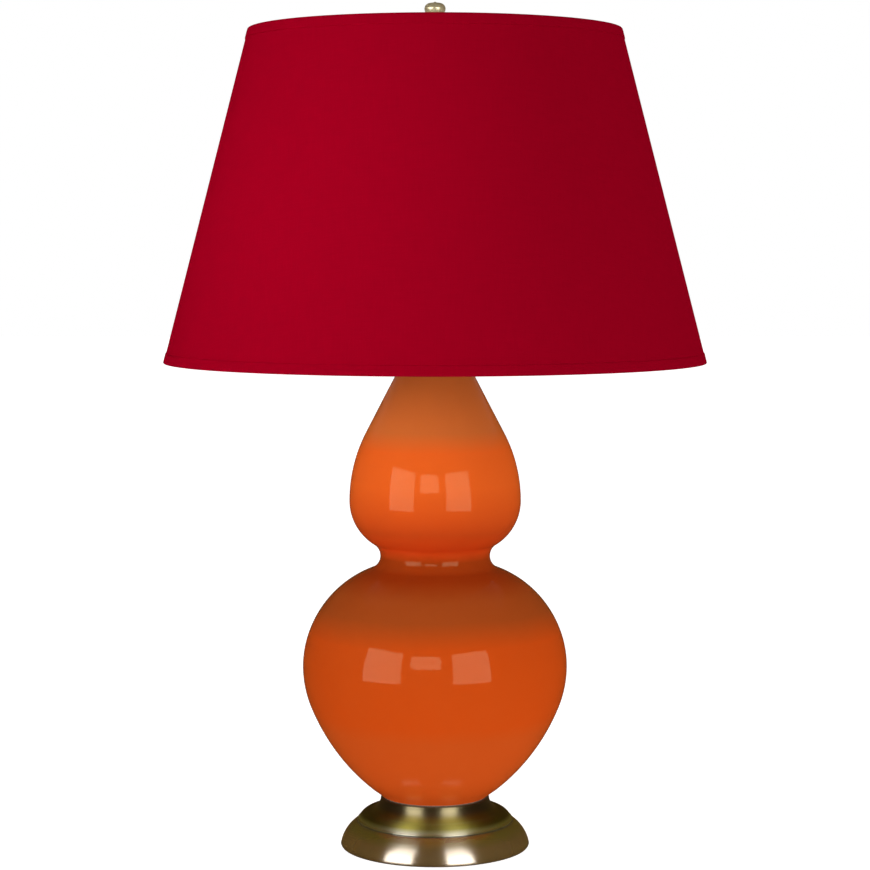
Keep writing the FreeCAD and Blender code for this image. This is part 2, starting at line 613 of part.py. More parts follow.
# ---------------------------------------------------------------- cap and saddle
def make_neck_fittings():
    edge = "(neck_radius + cap_overhang)"
    under = "(cap_height - cap_wall)"
    cap = turned("vase_cap", [
        (PIPE_HOLE, under),
        (PIPE_HOLE, "cap_height"),
        ("cap_seat_radius", "cap_height"),
        (edge, "cap_lip_height"),
        (edge, "0"),
        (f"({edge} - cap_wall)", "0"),
        (f"({edge} - cap_wall)", "(cap_lip_height - cap_wall / 2)"),
        ("cap_seat_radius", under),
    ], {
        2: ("cap_arc", -1),
        6: ("(cap_arc - cap_wall)", 1),
    }, level=CAP_FOOT)
    keep(cap, "vase_cap")

    spindle = turned("neck_spindle", [
        (PIPE_HOLE, "0"),
        ("spindle_radius", "0"),
        ("spindle_radius", "spindle_end_height"),
        ("spindle_waist", "(spindle_height - spindle_waist_height) / 2"),
        ("spindle_waist", "(spindle_height + spindle_waist_height) / 2"),
        ("spindle_radius", "(spindle_height - spindle_end_height)"),
        ("spindle_radius", "spindle_height"),
        (PIPE_HOLE, "spindle_height"),
    ], level=SPINDLE_FOOT)
    keep(spindle, "neck_spindle")

    reach = "(harp_leg_offset + saddle_thickness / 2)"
    pieces = [block("harp_saddle_strip", f"2 * {reach}", "saddle_width", "saddle_thickness",
                    x=f"-{reach}", y="-saddle_width / 2", z=SADDLE_FOOT)]
    for side, way in SIDES.items():
        x = f"{way} * harp_leg_offset - saddle_thickness / 2"
        pieces.append(block(f"harp_saddle_ear_{side}", "saddle_thickness", "saddle_width",
                            "saddle_ear", x=x, y="-saddle_width / 2", z=SADDLE_TOP))
        pieces.append(block(f"harp_saddle_tongue_{side}", "saddle_thickness", "tongue_width",
                            "tongue_height", x=x, y="-tongue_width / 2", z=EAR_TOP))
    blank = fuse("harp_saddle_blank", *pieces)
    hole = rod("harp_saddle_hole", PIPE_HOLE, "saddle_thickness", z=SADDLE_FOOT)
    keep(cut("harp_saddle", blank, hole), "harp_saddle")


# ---------------------------------------------------------------- harp
def make_harp():
    ferrule_foot = f"({EAR_TOP} + slide_gap)"
    ferrule_top = f"({ferrule_foot} + ferrule_length)"
    side_wire = bent_wire("harp_side", "harp_wire_radius", [
        ("harp_leg_offset", ferrule_top),
        ("harp_leg_offset", f"({SADDLE_TOP} + harp_leg_rise)"),
        ("(harp_leg_offset + harp_bow)", f"({SADDLE_TOP} + harp_bow_rise)"),
        ("harp_top_half", HARP_TOP),
        ("0", HARP_TOP),
    ], ["harp_leg_bend", "harp_bow_bend", "harp_top_bend"])
    other_wire = doc.addObject("Part::Mirroring", "harp_other_side")
    other_wire.Source = side_wire
    other_wire.Normal = V(1, 0, 0)
    pieces = [side_wire, other_wire]
    slots = []
    for side, way in SIDES.items():
        x = f"{way} * harp_leg_offset"
        pieces.append(rod(f"harp_ferrule_{side}", "ferrule_radius", "ferrule_length", x=x, z=ferrule_foot))
        slots.append(block(
            f"harp_slot_{side}", "saddle_thickness + 2 * slide_gap", "tongue_width + 2 * slide_gap",
            "ferrule_depth", x=f"{x} - saddle_thickness / 2 - slide_gap",
            y="-tongue_width / 2 - slide_gap", z=ferrule_foot))
        sleeve_foot = f"({EAR_TOP} + slide_gap)"
        ring_name = f"harp_sleeve_{side}"
        outer = rod(f"{ring_name}_outer", f"{SLEEVE_BORE} + sleeve_wall", "sleeve_length", x=x, z=sleeve_foot)
        bore = rod(f"{ring_name}_bore", SLEEVE_BORE, "sleeve_length", x=x, z=sleeve_foot)
        keep(cut(ring_name, outer, bore), ring_name)
    loop = fuse("harp_loop_blank", *pieces)
    keep(cut("harp_loop", loop, *slots), "harp_loop")

    cover = "(harp_wire_radius + stud_collar_cover)"
    collar = rod("harp_stud_collar", "stud_collar_radius", f"2 * {cover}", z=f"{HARP_TOP} - {cover}")
    stud = rod("harp_stud_thread", "stud_radius", "stud_length", z=COLLAR_TOP)
    wire_way = rod("harp_stud_way", "harp_wire_radius", "2 * stud_collar_radius", "X",
                   x="-stud_collar_radius", z=HARP_TOP)
    keep(cut("harp_stud", fuse("harp_stud_blank", collar, stud), wire_way), "harp_stud")


# ---------------------------------------------------------------- socket
def make_socket():
    cup = "(socket_radius + slide_gap / 2 + socket_wall)"
    flare_top = "(socket_neck_height + socket_flare_height)"
    cup_top = f"({flare_top} + socket_cup_height)"
    cap = turned("socket_cap_drawn", [
        ("pipe_radius", "0"),
        ("socket_neck_radius", "0"),
        ("socket_neck_radius", "socket_neck_height"),
        (cup, flare_top),
        (cup, cup_top),
        (f"({cup} - socket_wall)", cup_top),
        (f"({cup} - socket_wall)", flare_top),
        ("(socket_neck_radius - socket_wall)", "(socket_neck_height + socket_wall)"),
        ("pipe_radius", "(socket_neck_height + socket_wall)"),
    ], level=SOCKET_FOOT)
    screw_level = f"({SOCKET_FOOT} + socket_neck_height / 2)"
    screw_hole = rod("socket_cap_screw_hole", "set_screw_radius", "socket_radius", "X", z=screw_level)
    keep(cut("socket_cap", cap, screw_hole), "socket_cap")
    screw = rod("socket_set_screw", "set_screw_radius", "set_screw_length", "X",
                x="pipe_radius", z=screw_level)
    keep(screw, "socket_set_screw")

    window = rod("socket_shell_window", "switch_window_radius", "knob_start", "-Y", z=SWITCH_AXIS)
    outer = rod("socket_shell_outer", "socket_radius", "socket_shell_height", z=SHELL_FOOT)
    inner = rod("socket_shell_inner", "socket_radius - socket_wall", "socket_shell_height", z=SHELL_FOOT)
    keep(cut("socket_shell", outer, inner, window), "socket_shell")

    height = "(socket_shell_height - insulator_short)"
    outer = rod("insulator_outer", "socket_radius - socket_wall", height, z=SHELL_FOOT)
    inner = rod("insulator_inner", "socket_radius - socket_wall - insulator_wall", height, z=SHELL_FOOT)
    window = rod("insulator_window", "switch_window_radius", "knob_start", "-Y", z=SWITCH_AXIS)
    keep(cut("socket_insulator", outer, inner, window), "socket_insulator")

    solid = rod("switch_block_solid", "switch_block_radius", "switch_block_height", z=SHELL_FOOT)
    bore = rod("switch_block_bore", "switch_shaft_radius + switch_fit", "switch_block_radius", "-Y",
               y="-switch_shaft_start + slide_gap", z=SWITCH_AXIS)
    tools = [bore]
    flat_foot = f"({SHELL_FOOT} + (switch_block_height - terminal_flat_height) / 2)"
    screw_level = f"({SHELL_FOOT} + switch_block_height / 2)"
    for side, way in SIDES.items():
        x = "terminal_flat" if way > 0 else "-switch_block_radius"
        tools.append(block(f"terminal_flat_{side}", "switch_block_radius - terminal_flat",
                           "terminal_flat_width", "terminal_flat_height",
                           x=x, y="-terminal_flat_width / 2", z=flat_foot))
        shank_x = "terminal_flat - terminal_shank_length" if way > 0 else "-terminal_flat"
        head_x = "terminal_flat" if way > 0 else "-terminal_flat - terminal_head_height"
        name = f"terminal_screw_{side}"
        shank = rod(f"{name}_shank", "terminal_shank_radius", "terminal_shank_length", "X",
                    x=shank_x, z=screw_level)
        head = rod(f"{name}_head", "terminal_head_radius", "terminal_head_height", "X",
                   x=head_x, z=screw_level)
        keep(fuse(name, shank, head), name)
        tools.append(rod(f"{name}_hole", "terminal_shank_radius", "terminal_shank_length", "X",
                         x=shank_x, z=screw_level))
    keep(cut("socket_block", solid, *tools), "socket_block")

    ring("screw_shell", "screw_shell_radius + screw_shell_wall", "screw_shell_radius",
         "screw_shell_height", BLOCK_TOP)
    keep(rod("centre_contact", "contact_radius", "contact_height", z=BLOCK_TOP), "centre_contact")


# ---------------------------------------------------------------- switch
def make_switch():
    keep(rod("switch_shaft", "switch_shaft_radius", "switch_shaft_length", "-Y",
             y="-switch_shaft_start", z=SWITCH_AXIS), "switch_shaft")
    cone = doc.addObject("Part::Cone", "switch_knob_blank")
    bind(cone, Radius1="knob_small_radius", Radius2="knob_large_radius", Height="knob_length")
    cone.Placement = FreeCAD.Placement(V(0, 0, 0), FreeCAD.Rotation(V(1, 0, 0), 90))
    bind(cone, y="-knob_start", z=SWITCH_AXIS)
    grip_depth = "(switch_shaft_start + switch_shaft_length - knob_start)"
    grip = rod("switch_knob_bore", "switch_shaft_radius", grip_depth, "-Y", y="-knob_start", z=SWITCH_AXIS)
    keep(cut("switch_knob", cone, grip), "switch_knob")


# ---------------------------------------------------------------- bulb
def make_bulb():
    keep(rod("bulb_contact", "bulb_contact_radius", "bulb_contact_height", z=BULB_FOOT), "bulb_contact")
    button = doc.addObject("Part::Cone", "bulb_insulator")
    bind(button, Radius1="bulb_contact_radius", Radius2="bulb_insulator_radius",
         Height="bulb_insulator_height", z=f"{BULB_FOOT} + bulb_contact_height")
    keep(button, "bulb_insulator")

    inside = f"({BULB_SCREW} - bulb_screw_wall)"
    cap = turned("bulb_screw_cap", [
        ("bulb_insulator_radius", "0"),
        (BULB_SCREW, "bulb_screw_taper"),
        (BULB_SCREW, "bulb_screw_height"),
        (inside, "bulb_screw_height"),
        (inside, "(bulb_screw_taper + bulb_screw_wall)"),
        ("bulb_insulator_radius", "bulb_screw_wall"),
    ], level=SCREW_FOOT)
    keep(cap, "bulb_screw_cap")

    flare_foot = "bulb_neck_in_cap"
    flare_top = "(bulb_neck_in_cap + bulb_neck_rise)"
    middle = f"({flare_top} + bulb_globe_rise)"
    top_level = f"({middle} + bulb_globe_radius)"

    def globe_arc(shrink):
        width = "(bulb_globe_radius - bulb_flare_radius)"
        return f"(({width}^2 + bulb_globe_rise^2) / (2 * {width}) - {shrink})"

    glass = turned("bulb_glass", [
        ("(bulb_neck_radius - bulb_wall)", "0"),
        ("bulb_neck_radius", "0"),
        ("bulb_neck_radius", flare_foot),
        ("bulb_flare_radius", flare_top),
        ("bulb_globe_radius", middle),
        ("0", top_level),
        ("0", f"({top_level} - bulb_wall)"),
        ("(bulb_globe_radius - bulb_wall)", middle),
        ("(bulb_flare_radius - bulb_wall)", flare_top),
        ("(bulb_neck_radius - bulb_wall)", flare_foot),
    ], {
        2: ("bulb_flare_arc", -1),
        3: (globe_arc("0"), 1),
        4: ("bulb_globe_radius", 1),
        6: ("(bulb_globe_radius - bulb_wall)", -1),
        7: (globe_arc("bulb_wall"), -1),
        8: ("(bulb_flare_arc + bulb_wall)", 1),
    }, level=STEM_FOOT)
    keep(glass, "bulb_glass")

    stem = turned("bulb_stem", [
        ("0", "0"),
        ("stem_foot_radius", "0"),
        ("stem_radius", "stem_taper"),
        ("stem_radius", "stem_height"),
        ("0", "stem_height"),
    ], level=STEM_FOOT)
    keep(stem, "bulb_stem")

    stem_top = f"({STEM_FOOT} + stem_height)"
    half = bent_wire("filament_half", "filament_radius", [
        ("filament_foot", stem_top),
        ("filament_foot", f"({stem_top} + filament_lead)"),
        ("filament_half", f"({stem_top} + filament_rise)"),
        ("0", f"({stem_top} + filament_rise)"),
    ], ["filament_bend", "filament_bend"])
    other = doc.addObject("Part::Mirroring", "filament_other_half")
    other.Source = half
    other.Normal = V(1, 0, 0)
    keep(fuse("bulb_filament", half, other), "bulb_filament")


# ---------------------------------------------------------------- shade
SLOPE = "((shade_bottom_radius - shade_top_radius) / shade_height)"


def shade_radius(rise, inset):
    """Radius of the shade at a height over its bottom rim, less an inset."""
    return f"(shade_bottom_radius - {SLOPE} * ({rise}) - ({inset}))"


def shade_skin(name, outer, thickness):
    """Cone between the two hems, from one inset to the next."""
    low, high = "trim_thickness", "(shade_height - trim_thickness)"
    inner = f"({outer} + {thickness})"
    skin = turned(name, [
        (shade_radius(low, inner), low),
        (shade_radius(low, outer), low),
        (shade_radius(high, outer), high),
        (shade_radius(high, inner), high),
    ], level=SHADE_BOTTOM)
    keep(skin, name)


def shade_trim(name, rim, edge, band):
    """Hem outside the cloth that turns in over the edge of the shade."""
    depth = "(trim_thickness + fabric_thickness + liner_thickness)"
    trim = turned(name, [
        (shade_radius(rim, depth), rim),
        (shade_radius(rim, "0"), rim),
        (shade_radius(band, "0"), band),
        (shade_radius(band, "trim_thickness"), band),
        (shade_radius(edge, "trim_thickness"), edge),
        (shade_radius(edge, depth), edge),
    ], level=SHADE_BOTTOM)
    keep(trim, name)


def shade_ring(name, rise):
    """Wire ring that lies against the inside of the liner."""
    slant = f"(sqrt({SLOPE}^2 + 1))"
    inset = f"(trim_thickness + fabric_thickness + liner_thickness + ring_wire_radius * {slant})"
    wire = doc.addObject("Part::Torus", name)
    bind(wire, Radius1=shade_radius(rise, inset), Radius2="ring_wire_radius", z=f"{SHADE_BOTTOM} + {rise}")
    keep(wire, name)
    return shade_radius(rise, inset)


def make_shade():
    shade_skin("shade_fabric", "trim_thickness", "fabric_thickness")
    shade_skin("shade_liner", "(trim_thickness + fabric_thickness)", "liner_thickness")
    shade_trim("shade_bottom_trim", "0", "trim_thickness", "trim_width")
    shade_trim("shade_top_trim", "shade_height", "(shade_height - trim_thickness)",
               "(shade_height - trim_width)")
    shade_ring("shade_bottom_ring", "(trim_thickness + ring_wire_radius)")
    top_rise = "(shade_height - trim_thickness - ring_wire_radius)"
    ring_radius = shade_ring("shade_top_ring", top_rise)

    ring("spider_hub", "hub_radius", "hub_hole_radius", "hub_thickness", HUB_FOOT)
    for place in range(ARM_COUNT):
        name = f"spider_arm_{place + 1}"
        arm = bent_wire(name, "arm_wire_radius", [
            ("hub_radius", HUB_MIDDLE),
            ("(hub_radius + arm_flat)", HUB_MIDDLE),
            (f"({ring_radius} - ring_wire_radius)", f"({SHADE_BOTTOM} + {top_rise})"),
        ], ["arm_bend"], axis="X")
        bearing = FIRST_ARM + place * 360 / ARM_COUNT
        arm.Placement = FreeCAD.Placement(V(0, 0, 0), FreeCAD.Rotation(V(0, 0, 1), bearing))
        keep(arm, name)


# ---------------------------------------------------------------- finial
def make_finial():
    bore_top = "(stud_length - hub_thickness - 2 * slide_gap + finial_bore_extra)"
    seat_foot = "(finial_base_height - finial_seat_height)"
    base = turned("finial_base", [
        ("finial_bore_radius", "0"),
        ("finial_foot_radius", "0"),
        ("finial_foot_radius", "finial_foot_height"),
        ("finial_waist_radius", "(finial_foot_height + finial_foot_radius - finial_waist_radius)"),
        ("finial_waist_radius", f"({seat_foot} - finial_seat_radius + finial_waist_radius)"),
        ("finial_seat_radius", seat_foot),
        ("finial_seat_radius", "finial_base_height"),
        ("finial_bore_radius", "finial_base_height"),
    ], level=FINIAL_FOOT)
    keep(base, "finial_base")

    widest = "(finial_neck_height + finial_knob_rise)"
    shoulder = f"({widest} + finial_crown_height)"
    blind = f"({bore_top} - finial_base_height)"
    knob = turned("finial_knob", [
        ("finial_bore_radius", "0"),
        ("finial_neck_radius", "0"),
        ("finial_neck_radius", "finial_neck_height"),
        ("finial_knob_radius", widest),
        ("finial_tip_radius", shoulder),
        ("0", f"({shoulder} + finial_tip_height)"),
        ("0", blind),
        ("finial_bore_radius", blind),
    ], {
        2: ("finial_knob_under_arc", 1),
        3: ("finial_crown_arc", 1),
    }, level=f"({FINIAL_FOOT} + finial_base_height)")
    keep(knob, "finial_knob")


# ---------------------------------------------------------------- build
def check(items):
    """Stop at the first object that failed or has no valid solid."""
    for item in doc.Objects:
        if "Invalid" in item.State or "Error" in item.State:
            raise RuntimeError(f"{item.Label} failed: {item.State}")
    for item in items:
        shape = item.Shape
        if shape.isNull() or not shape.isValid() or not shape.Solids:
            raise RuntimeError(f"{item.Label} has no valid solid")


make_foot()
make_pipe()
make_gourd()
make_neck_fittings()
make_harp()
make_socket()
make_switch()
make_bulb()
make_shade()
make_finial()
doc.recompute()
check(nodes)

os.makedirs("parts", exist_ok=True)
for item in nodes:
    box = item.Shape.optimalBoundingBox(False, False)
    print("%-22s solids %d  %8.2f cm3  z %7.2f to %7.2f" % (
        item.Label, len(item.Shape.Solids), item.Shape.Volume / 1000, box.ZMin, box.ZMax))
    item.Shape.exportStep(f"parts/{item.Label}.step")
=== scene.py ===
"""Looks of the double gourd table lamp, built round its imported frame.

Metres, +Z up, the lamp's axis on Z. Turned pieces are spun from outlines of
(radius, height); what the frame already gives isn't repeated here.
"""

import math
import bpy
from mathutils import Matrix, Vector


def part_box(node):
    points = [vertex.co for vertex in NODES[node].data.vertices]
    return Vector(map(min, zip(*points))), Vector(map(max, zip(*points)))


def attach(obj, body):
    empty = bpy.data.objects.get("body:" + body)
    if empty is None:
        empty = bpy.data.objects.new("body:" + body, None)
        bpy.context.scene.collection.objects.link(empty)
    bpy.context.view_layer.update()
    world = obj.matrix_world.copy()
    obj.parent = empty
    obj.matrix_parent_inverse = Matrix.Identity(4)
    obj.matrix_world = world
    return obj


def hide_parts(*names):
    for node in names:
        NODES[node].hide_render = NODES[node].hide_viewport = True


bl_info = {
    "name": "Double gourd lamp",
    "version": (1, 0, 0),
    "blender": (4, 5, 0),
    "location": "View3D > Sidebar > Lamp",
    "description": "Dresses a table lamp: glazed gourd, brass foot, cloth shade, socket, bulb and harp",
    "category": "Object",
}

import bpy
from bpy.props import FloatProperty, FloatVectorProperty, PointerProperty
from mathutils import Vector, noise

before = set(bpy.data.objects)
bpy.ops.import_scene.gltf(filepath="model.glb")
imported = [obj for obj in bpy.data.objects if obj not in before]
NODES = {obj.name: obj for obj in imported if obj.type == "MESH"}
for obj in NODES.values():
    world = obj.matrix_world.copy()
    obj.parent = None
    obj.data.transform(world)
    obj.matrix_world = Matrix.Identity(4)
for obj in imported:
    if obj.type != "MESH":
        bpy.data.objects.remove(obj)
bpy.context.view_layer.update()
TAU = 2 * math.pi


# ---------------------------------------------------------------- settings
def length(name, description, default):
    return FloatProperty(name=name, description=description, default=default, unit="LENGTH", precision=5)


def factor(name, description, default):
    return FloatProperty(name=name, description=description, default=default, min=0, max=1, subtype="FACTOR")


def radiance(name, description, default):
    return FloatProperty(name=name, description=description, default=default, min=0)


def colour(name, description, default):
    return FloatVectorProperty(name=name, description=description, default=default,
                               subtype="COLOR", size=3, min=0, max=1)


class GourdSettings(bpy.types.PropertyGroup):
    belly_height: length("Belly height", "Widest line of the lower lobe over the gourd's foot", 0.1225)
    flank_drop: length("Flank drop", "Steep flank below the widest line", 0.0369)
    flank_inset: length("Flank inset", "How far the flank draws in over that drop", 0.00704)
    foot_radius: length("Foot radius", "Ring that the gourd stands on", 0.0494)
    waist_rise: length("Waist rise", "Waist over the widest line of the lower lobe", 0.10425)
    waist_radius: length("Waist radius", "Radius at the waist", 0.05124)
    waist_arc: length("Waist arc", "Radius of the waist's section", 0.013)
    head_rise: length("Head rise", "Widest line of the upper lobe over the waist", 0.05195)
    head_radius: length("Head radius", "Radius of the upper lobe", 0.08006)
    brow_rise: length("Brow rise", "Round part of the upper lobe over its widest line", 0.06307)
    brow_inset: length("Brow inset", "How far it draws in over that rise", 0.01542)
    neck_radius: length("Neck radius", "Top of the neck", 0.0251)
    wall: length("Wall", "Wall of the ceramic", 0.0055)
    glaze_foot: colour("Foot glaze", "Glaze on the taper above the foot", (0.64, 0.085, 0.010))
    glaze_belly: colour("Belly glaze", "Glaze on the lower lobe", (0.67, 0.076, 0.006))
    # browner on the slope under the waist: painted shade and painted reflection of the shade's inside
    slope_painted_shade_and_reflection: colour("Slope glaze", "Browner glaze on the slope under the waist", (0.415, 0.069, 0.010))
    # darkest at the waist: painted shade in the crease between the lobes
    waist_painted_shade: colour("Waist glaze", "Deep glaze that pooled at the waist", (0.355, 0.040, 0.0035))
    # lighter under the upper lobe: painted light against the shade under its overhang
    chin_painted_light: colour("Chin glaze", "Redder glaze under the upper lobe", (0.84, 0.071, 0.008))
    # darker on the lower half of the upper lobe: painted shade
    lobe_painted_shade: colour("Lobe glaze", "Glaze on the lower half of the upper lobe", (0.645, 0.064, 0.008))
    # brighter over the upper lobe: painted light
    crown_painted_light: colour("Crown glaze", "Brighter glaze over the upper lobe", (0.85, 0.122, 0.014))
    # browner at the neck: painted shadow of the shade and painted reflection of its inside
    neck_painted_shade_and_reflection: colour("Neck glaze", "Browner glaze at the neck", (0.65, 0.144, 0.028))
    # wobble of the borders between the levels of painted light and shade
    drift: length("Drift", "How unevenly the glazes meet", 0.006)
    clay: colour("Clay", "Bare fired clay", (0.62, 0.50, 0.38))
    gloss: factor("Roughness", "Roughness of the glaze", 0.045)


class FootSettings(bpy.types.PropertyGroup):
    collar_radius: length("Collar radius", "Collar under the gourd", 0.051)
    collar_edge: length("Collar edge", "Rounding at the top of the collar", 0.0015)
    cove_width: length("Cove width", "Width of the cove below the collar", 0.0106)
    cove_depth: length("Cove depth", "Depth of the cove", 0.013)
    cove_arc: length("Cove arc", "Radius of the cove's section", 0.0126)
    shoulder_width: length("Shoulder width", "Width of the shoulder below the cove", 0.0101)
    shoulder_depth: length("Shoulder depth", "Drop of the shoulder", 0.0073)
    shoulder_arc: length("Shoulder arc", "Radius of the shoulder's section", 0.013)
    bead: length("Bead", "Raised line at the foot of the shoulder", 0.0013)
    groove: length("Groove", "Sunk line below the bead", 0.0007)
    dome_arc: length("Dome arc", "Radius of the dome's section", 0.0323)
    wall: length("Wall", "Spun brass", 0.0015)
    brass: colour("Antique brass", "Waxed brown brass", (0.19, 0.112, 0.025))
    olive: colour("Olive patina", "Patina where the foot is shielded", (0.14, 0.125, 0.003))
    patina: colour("Patina", "Dark patina on the collar and in the hollows", (0.085, 0.068, 0.032))


class ClothSettings(bpy.types.PropertyGroup):
    dye: colour("Dye", "Colour of the shade's cloth", (0.311, 0.0003, 0.0115))
    thread: length("Thread spacing", "Distance from thread to thread", 0.0006)
    hem_width: length("Hem width", "Folded hem at both rims", 0.0095)
    hem_inside: length("Inner hem", "Part of the hem that is folded inside", 0.007)
    thickness: length("Thickness", "Thickness of the cloth", 0.0005)
    lap: length("Lap", "Overlap at the back seam", 0.009)
    liner: colour("Liner", "Stiff liner behind the cloth", (0.86, 0.83, 0.77))


class MetalSettings(bpy.types.PropertyGroup):
    brass: colour("Brass", "Lacquered brass fittings", (0.70, 0.50, 0.22))
    # paler than the other brass: the finial's aged brass with a painted reflection of bright surroundings
    aged_brass_and_painted_reflection: colour("Finial brass", "Pale aged brass of the finial", (0.80, 0.72, 0.46))
    steel: colour("Zinc plate", "Plated steel fasteners", (0.55, 0.55, 0.53))
    iron: colour("Cast iron", "Weight in the foot", (0.05, 0.05, 0.055))
    aluminium: colour("Aluminium", "Thread of the bulb", (0.72, 0.72, 0.72))


class StageSettings(bpy.types.PropertyGroup):
    eye_distance: length("Camera distance", "Camera in front of the lamp's axis", 2.238)
    eye_height: length("Camera height", "Camera over the table", 0.568)
    eye_pitch: FloatProperty(name="Camera pitch", description="How far the camera looks down",
                             default=math.radians(4.607), subtype="ANGLE")
    focal: FloatProperty(name="Focal length", description="Lens on a 36 mm frame", default=99.73,
                         unit="CAMERA")
    windows: radiance("Windows", "Radiance of the tall windows in reflections", 13.0)
    transoms: radiance("Transoms", "Radiance of the upper windows in the brass", 6.0)
    front: radiance("Front light", "Radiance of the low front lamp", 2.55)
    brow: radiance("Upper front light", "Radiance of the lamp above it", 1.0)
    right: radiance("Right light", "Radiance of the lamp on the right", 1.65)
    side: radiance("Side light", "Radiance of the lamp beside the set", 2.3)
    shade: radiance("Shade light", "Radiance of the lamp left of the shade", 2.55)
    table: radiance("Table light", "Light thrown back by the table round the foot", 0.5)
    horizon: radiance("Horizon light", "Strength of the room's light near the horizon", 0.77)
    sky: radiance("Sky light", "Strength of the room's light from above", 0.25)
    floor_size: length("Floor size", "Side of the floor", 24.0)
    flag_reach: length("Flag distance", "Dark flags round the set, that only reflections show", 3.0)
    flag_height: length("Flag height", "Height of those flags", 3.2)
    flag_tint: colour("Flag tint", "Warm dark tone of those flags", (0.085, 0.046, 0.012))
    apron_reach: length("Apron", "Table round the foot that reflections show", 0.16)
    apron_tint: colour("Apron tint", "Tone of that part", (0.08, 0.05, 0.015))


# ---------------------------------------------------------------- outlines
def arc_points(start, finish, radius, turn, step=math.radians(3)):
    """Points after start up to finish on an arc that turns left (1) or right (-1)."""
    a, b = Vector(start), Vector(finish)
    chord = b - a
    normal = Vector((-chord.y, chord.x)).normalized()
    reach = math.sqrt(max(radius ** 2 - chord.length_squared / 4, 0))
    centre = (a + b) / 2 + normal * reach * turn
    first = math.atan2(a.y - centre.y, a.x - centre.x)
    sweep = 2 * math.asin(min(chord.length / 2 / radius, 1)) * turn
    count = max(2, math.ceil(abs(sweep) / step))
    return [(centre.x + radius * math.cos(first + sweep * i / count),
             centre.y + radius * math.sin(first + sweep * i / count)) for i in range(1, count + 1)]


def line_points(start, finish, count):
    """Points after start up to finish on a straight line."""
    return [(start[0] + (finish[0] - start[0]) * i / count,
             start[1] + (finish[1] - start[1]) * i / count) for i in range(1, count + 1)]


def outline(corners, rounds=None, straight=0.002):
    """Closed outline of (radius, height) with arcs {edge: (radius, turn)}."""
    points = []
    for edge, start in enumerate(corners):
        finish = corners[(edge + 1) % len(corners)]
        if rounds and edge in rounds:
            points += arc_points(start, finish, *rounds[edge])
        else:
            points += line_points(start, finish, max(1, round(math.dist(start, finish) / straight)))
    return points


def softened(corners, radius):
    """Outline whose corners are each cut back to a small round."""
    points = []
    for place, corner in enumerate(corners):
        before, after = Vector(corners[place - 1]), Vector(corners[(place + 1) % len(corners)])
        here = Vector(corner)
        if here.x < 1e-6:
            points.append(corner)
            continue
        reach = min(radius, (before - here).length * 0.45, (after - here).length * 0.45)
        one, two = here + (before - here).normalized() * reach, here + (after - here).normalized() * reach
        points += [tuple(one.lerp(here, t).lerp(here.lerp(two, t), t)) for t in (0, 0.25, 0.5, 0.75, 1)]
    return points


def laid(axis, x, y, z):
    """Place on a piece turned round Z when its axis is laid along another one."""
    return {"Z": (x, y, z), "Y": (x, z, -y), "-Y": (x, -z, y)}[axis]


def spin(name, points, segments=192, shape=None, axis="Z", at=(0, 0, 0), sharp=40):
    """Turned piece; shape(radius, height, angle) may move the radius of a point."""
    verts, faces, rings = [], [], []
    for radius, height in points:
        if radius < 1e-6:
            rings.append([len(verts)] * segments)
            verts.append((0, 0, height))
            continue
        rings.append(range(len(verts), len(verts) + segments))
        for step in range(segments):
            angle = TAU * step / segments
            reach = shape(radius, height, angle) if shape else radius
            verts.append((reach * math.cos(angle), reach * math.sin(angle), height))
    for low, high in zip(rings, rings[1:] + rings[:1]):
        for step in range(segments):
            after = (step + 1) % segments
            face = list(dict.fromkeys((low[step], low[after], high[after], high[step])))
            if len(face) > 2:
                faces.append(face)
    verts = [tuple(map(sum, zip(laid(axis, *vert), at))) for vert in verts]
    return solid(name, verts, faces, sharp)


def solid(name, verts, faces, sharp=40, spots=None):
    """Object with faces turned out and smooth shading; spots are its flat places, loop by loop."""
    mesh = bpy.data.meshes.new(name)
    mesh.from_pydata(verts, [], faces)
    if spots:
        for loop, spot in zip(mesh.uv_layers.new(name="flat").data, spots):
            loop.uv = spot
    else:
        mesh.validate()
    piece = bpy.data.objects.new(name, mesh)
    bpy.context.collection.objects.link(piece)
    bpy.context.view_layer.objects.active = piece
    piece.select_set(True)
    bpy.ops.object.mode_set(mode="EDIT")
    bpy.ops.mesh.select_all(action="SELECT")
    bpy.ops.mesh.normals_make_consistent(inside=False)
    bpy.ops.object.mode_set(mode="OBJECT")
    piece.select_set(False)
    mesh.shade_smooth()
    mesh.set_sharp_from_angle(angle=math.radians(sharp))
    return piece


def dress(piece, body, slot, material, *replaced):
    """Give a piece its body and finish, and hide the nodes that it stands for; the slot is not used."""
    piece.data.materials.append(material)
    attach(piece, body)
    if replaced:
        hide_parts(*replaced)
    return piece


def finish_nodes(material, *names):
    """Give CAD nodes that stay in view their finish."""
    for name in names:
        for place in NODES[name].material_slots:
            place.material = material


def span(name):
    """Lowest and highest level of a turned node, and its outer radius."""
    low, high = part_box(name)
    return low[2], high[2], high[0]


def middle_level(name):
    low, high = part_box(name)
    return (low[2] + high[2]) / 2


# ---------------------------------------------------------------- shader nodes
def fill(node, inputs):
    """Give a node its inputs: values, or the output sockets of other nodes."""
    for key, value in inputs.items():
        if isinstance(value, bpy.types.NodeSocket):
            node.id_data.links.new(value, node.inputs[key])
        else:
            node.inputs[key].default_value = value


def feed(shader, **values):
    """Fill a shader's inputs by name, with _ for a space."""
    fill(shader, {key.replace("_", " "): value for key, value in values.items()})


def add(tree, kind, inputs=None, **settings):
    node = tree.nodes.new(kind)
    for key, value in settings.items():
        setattr(node, key, value)
    fill(node, inputs or {})
    return node


def maths(tree, operation, *values):
    return add(tree, "ShaderNodeMath", dict(enumerate(values)), operation=operation).outputs[0]


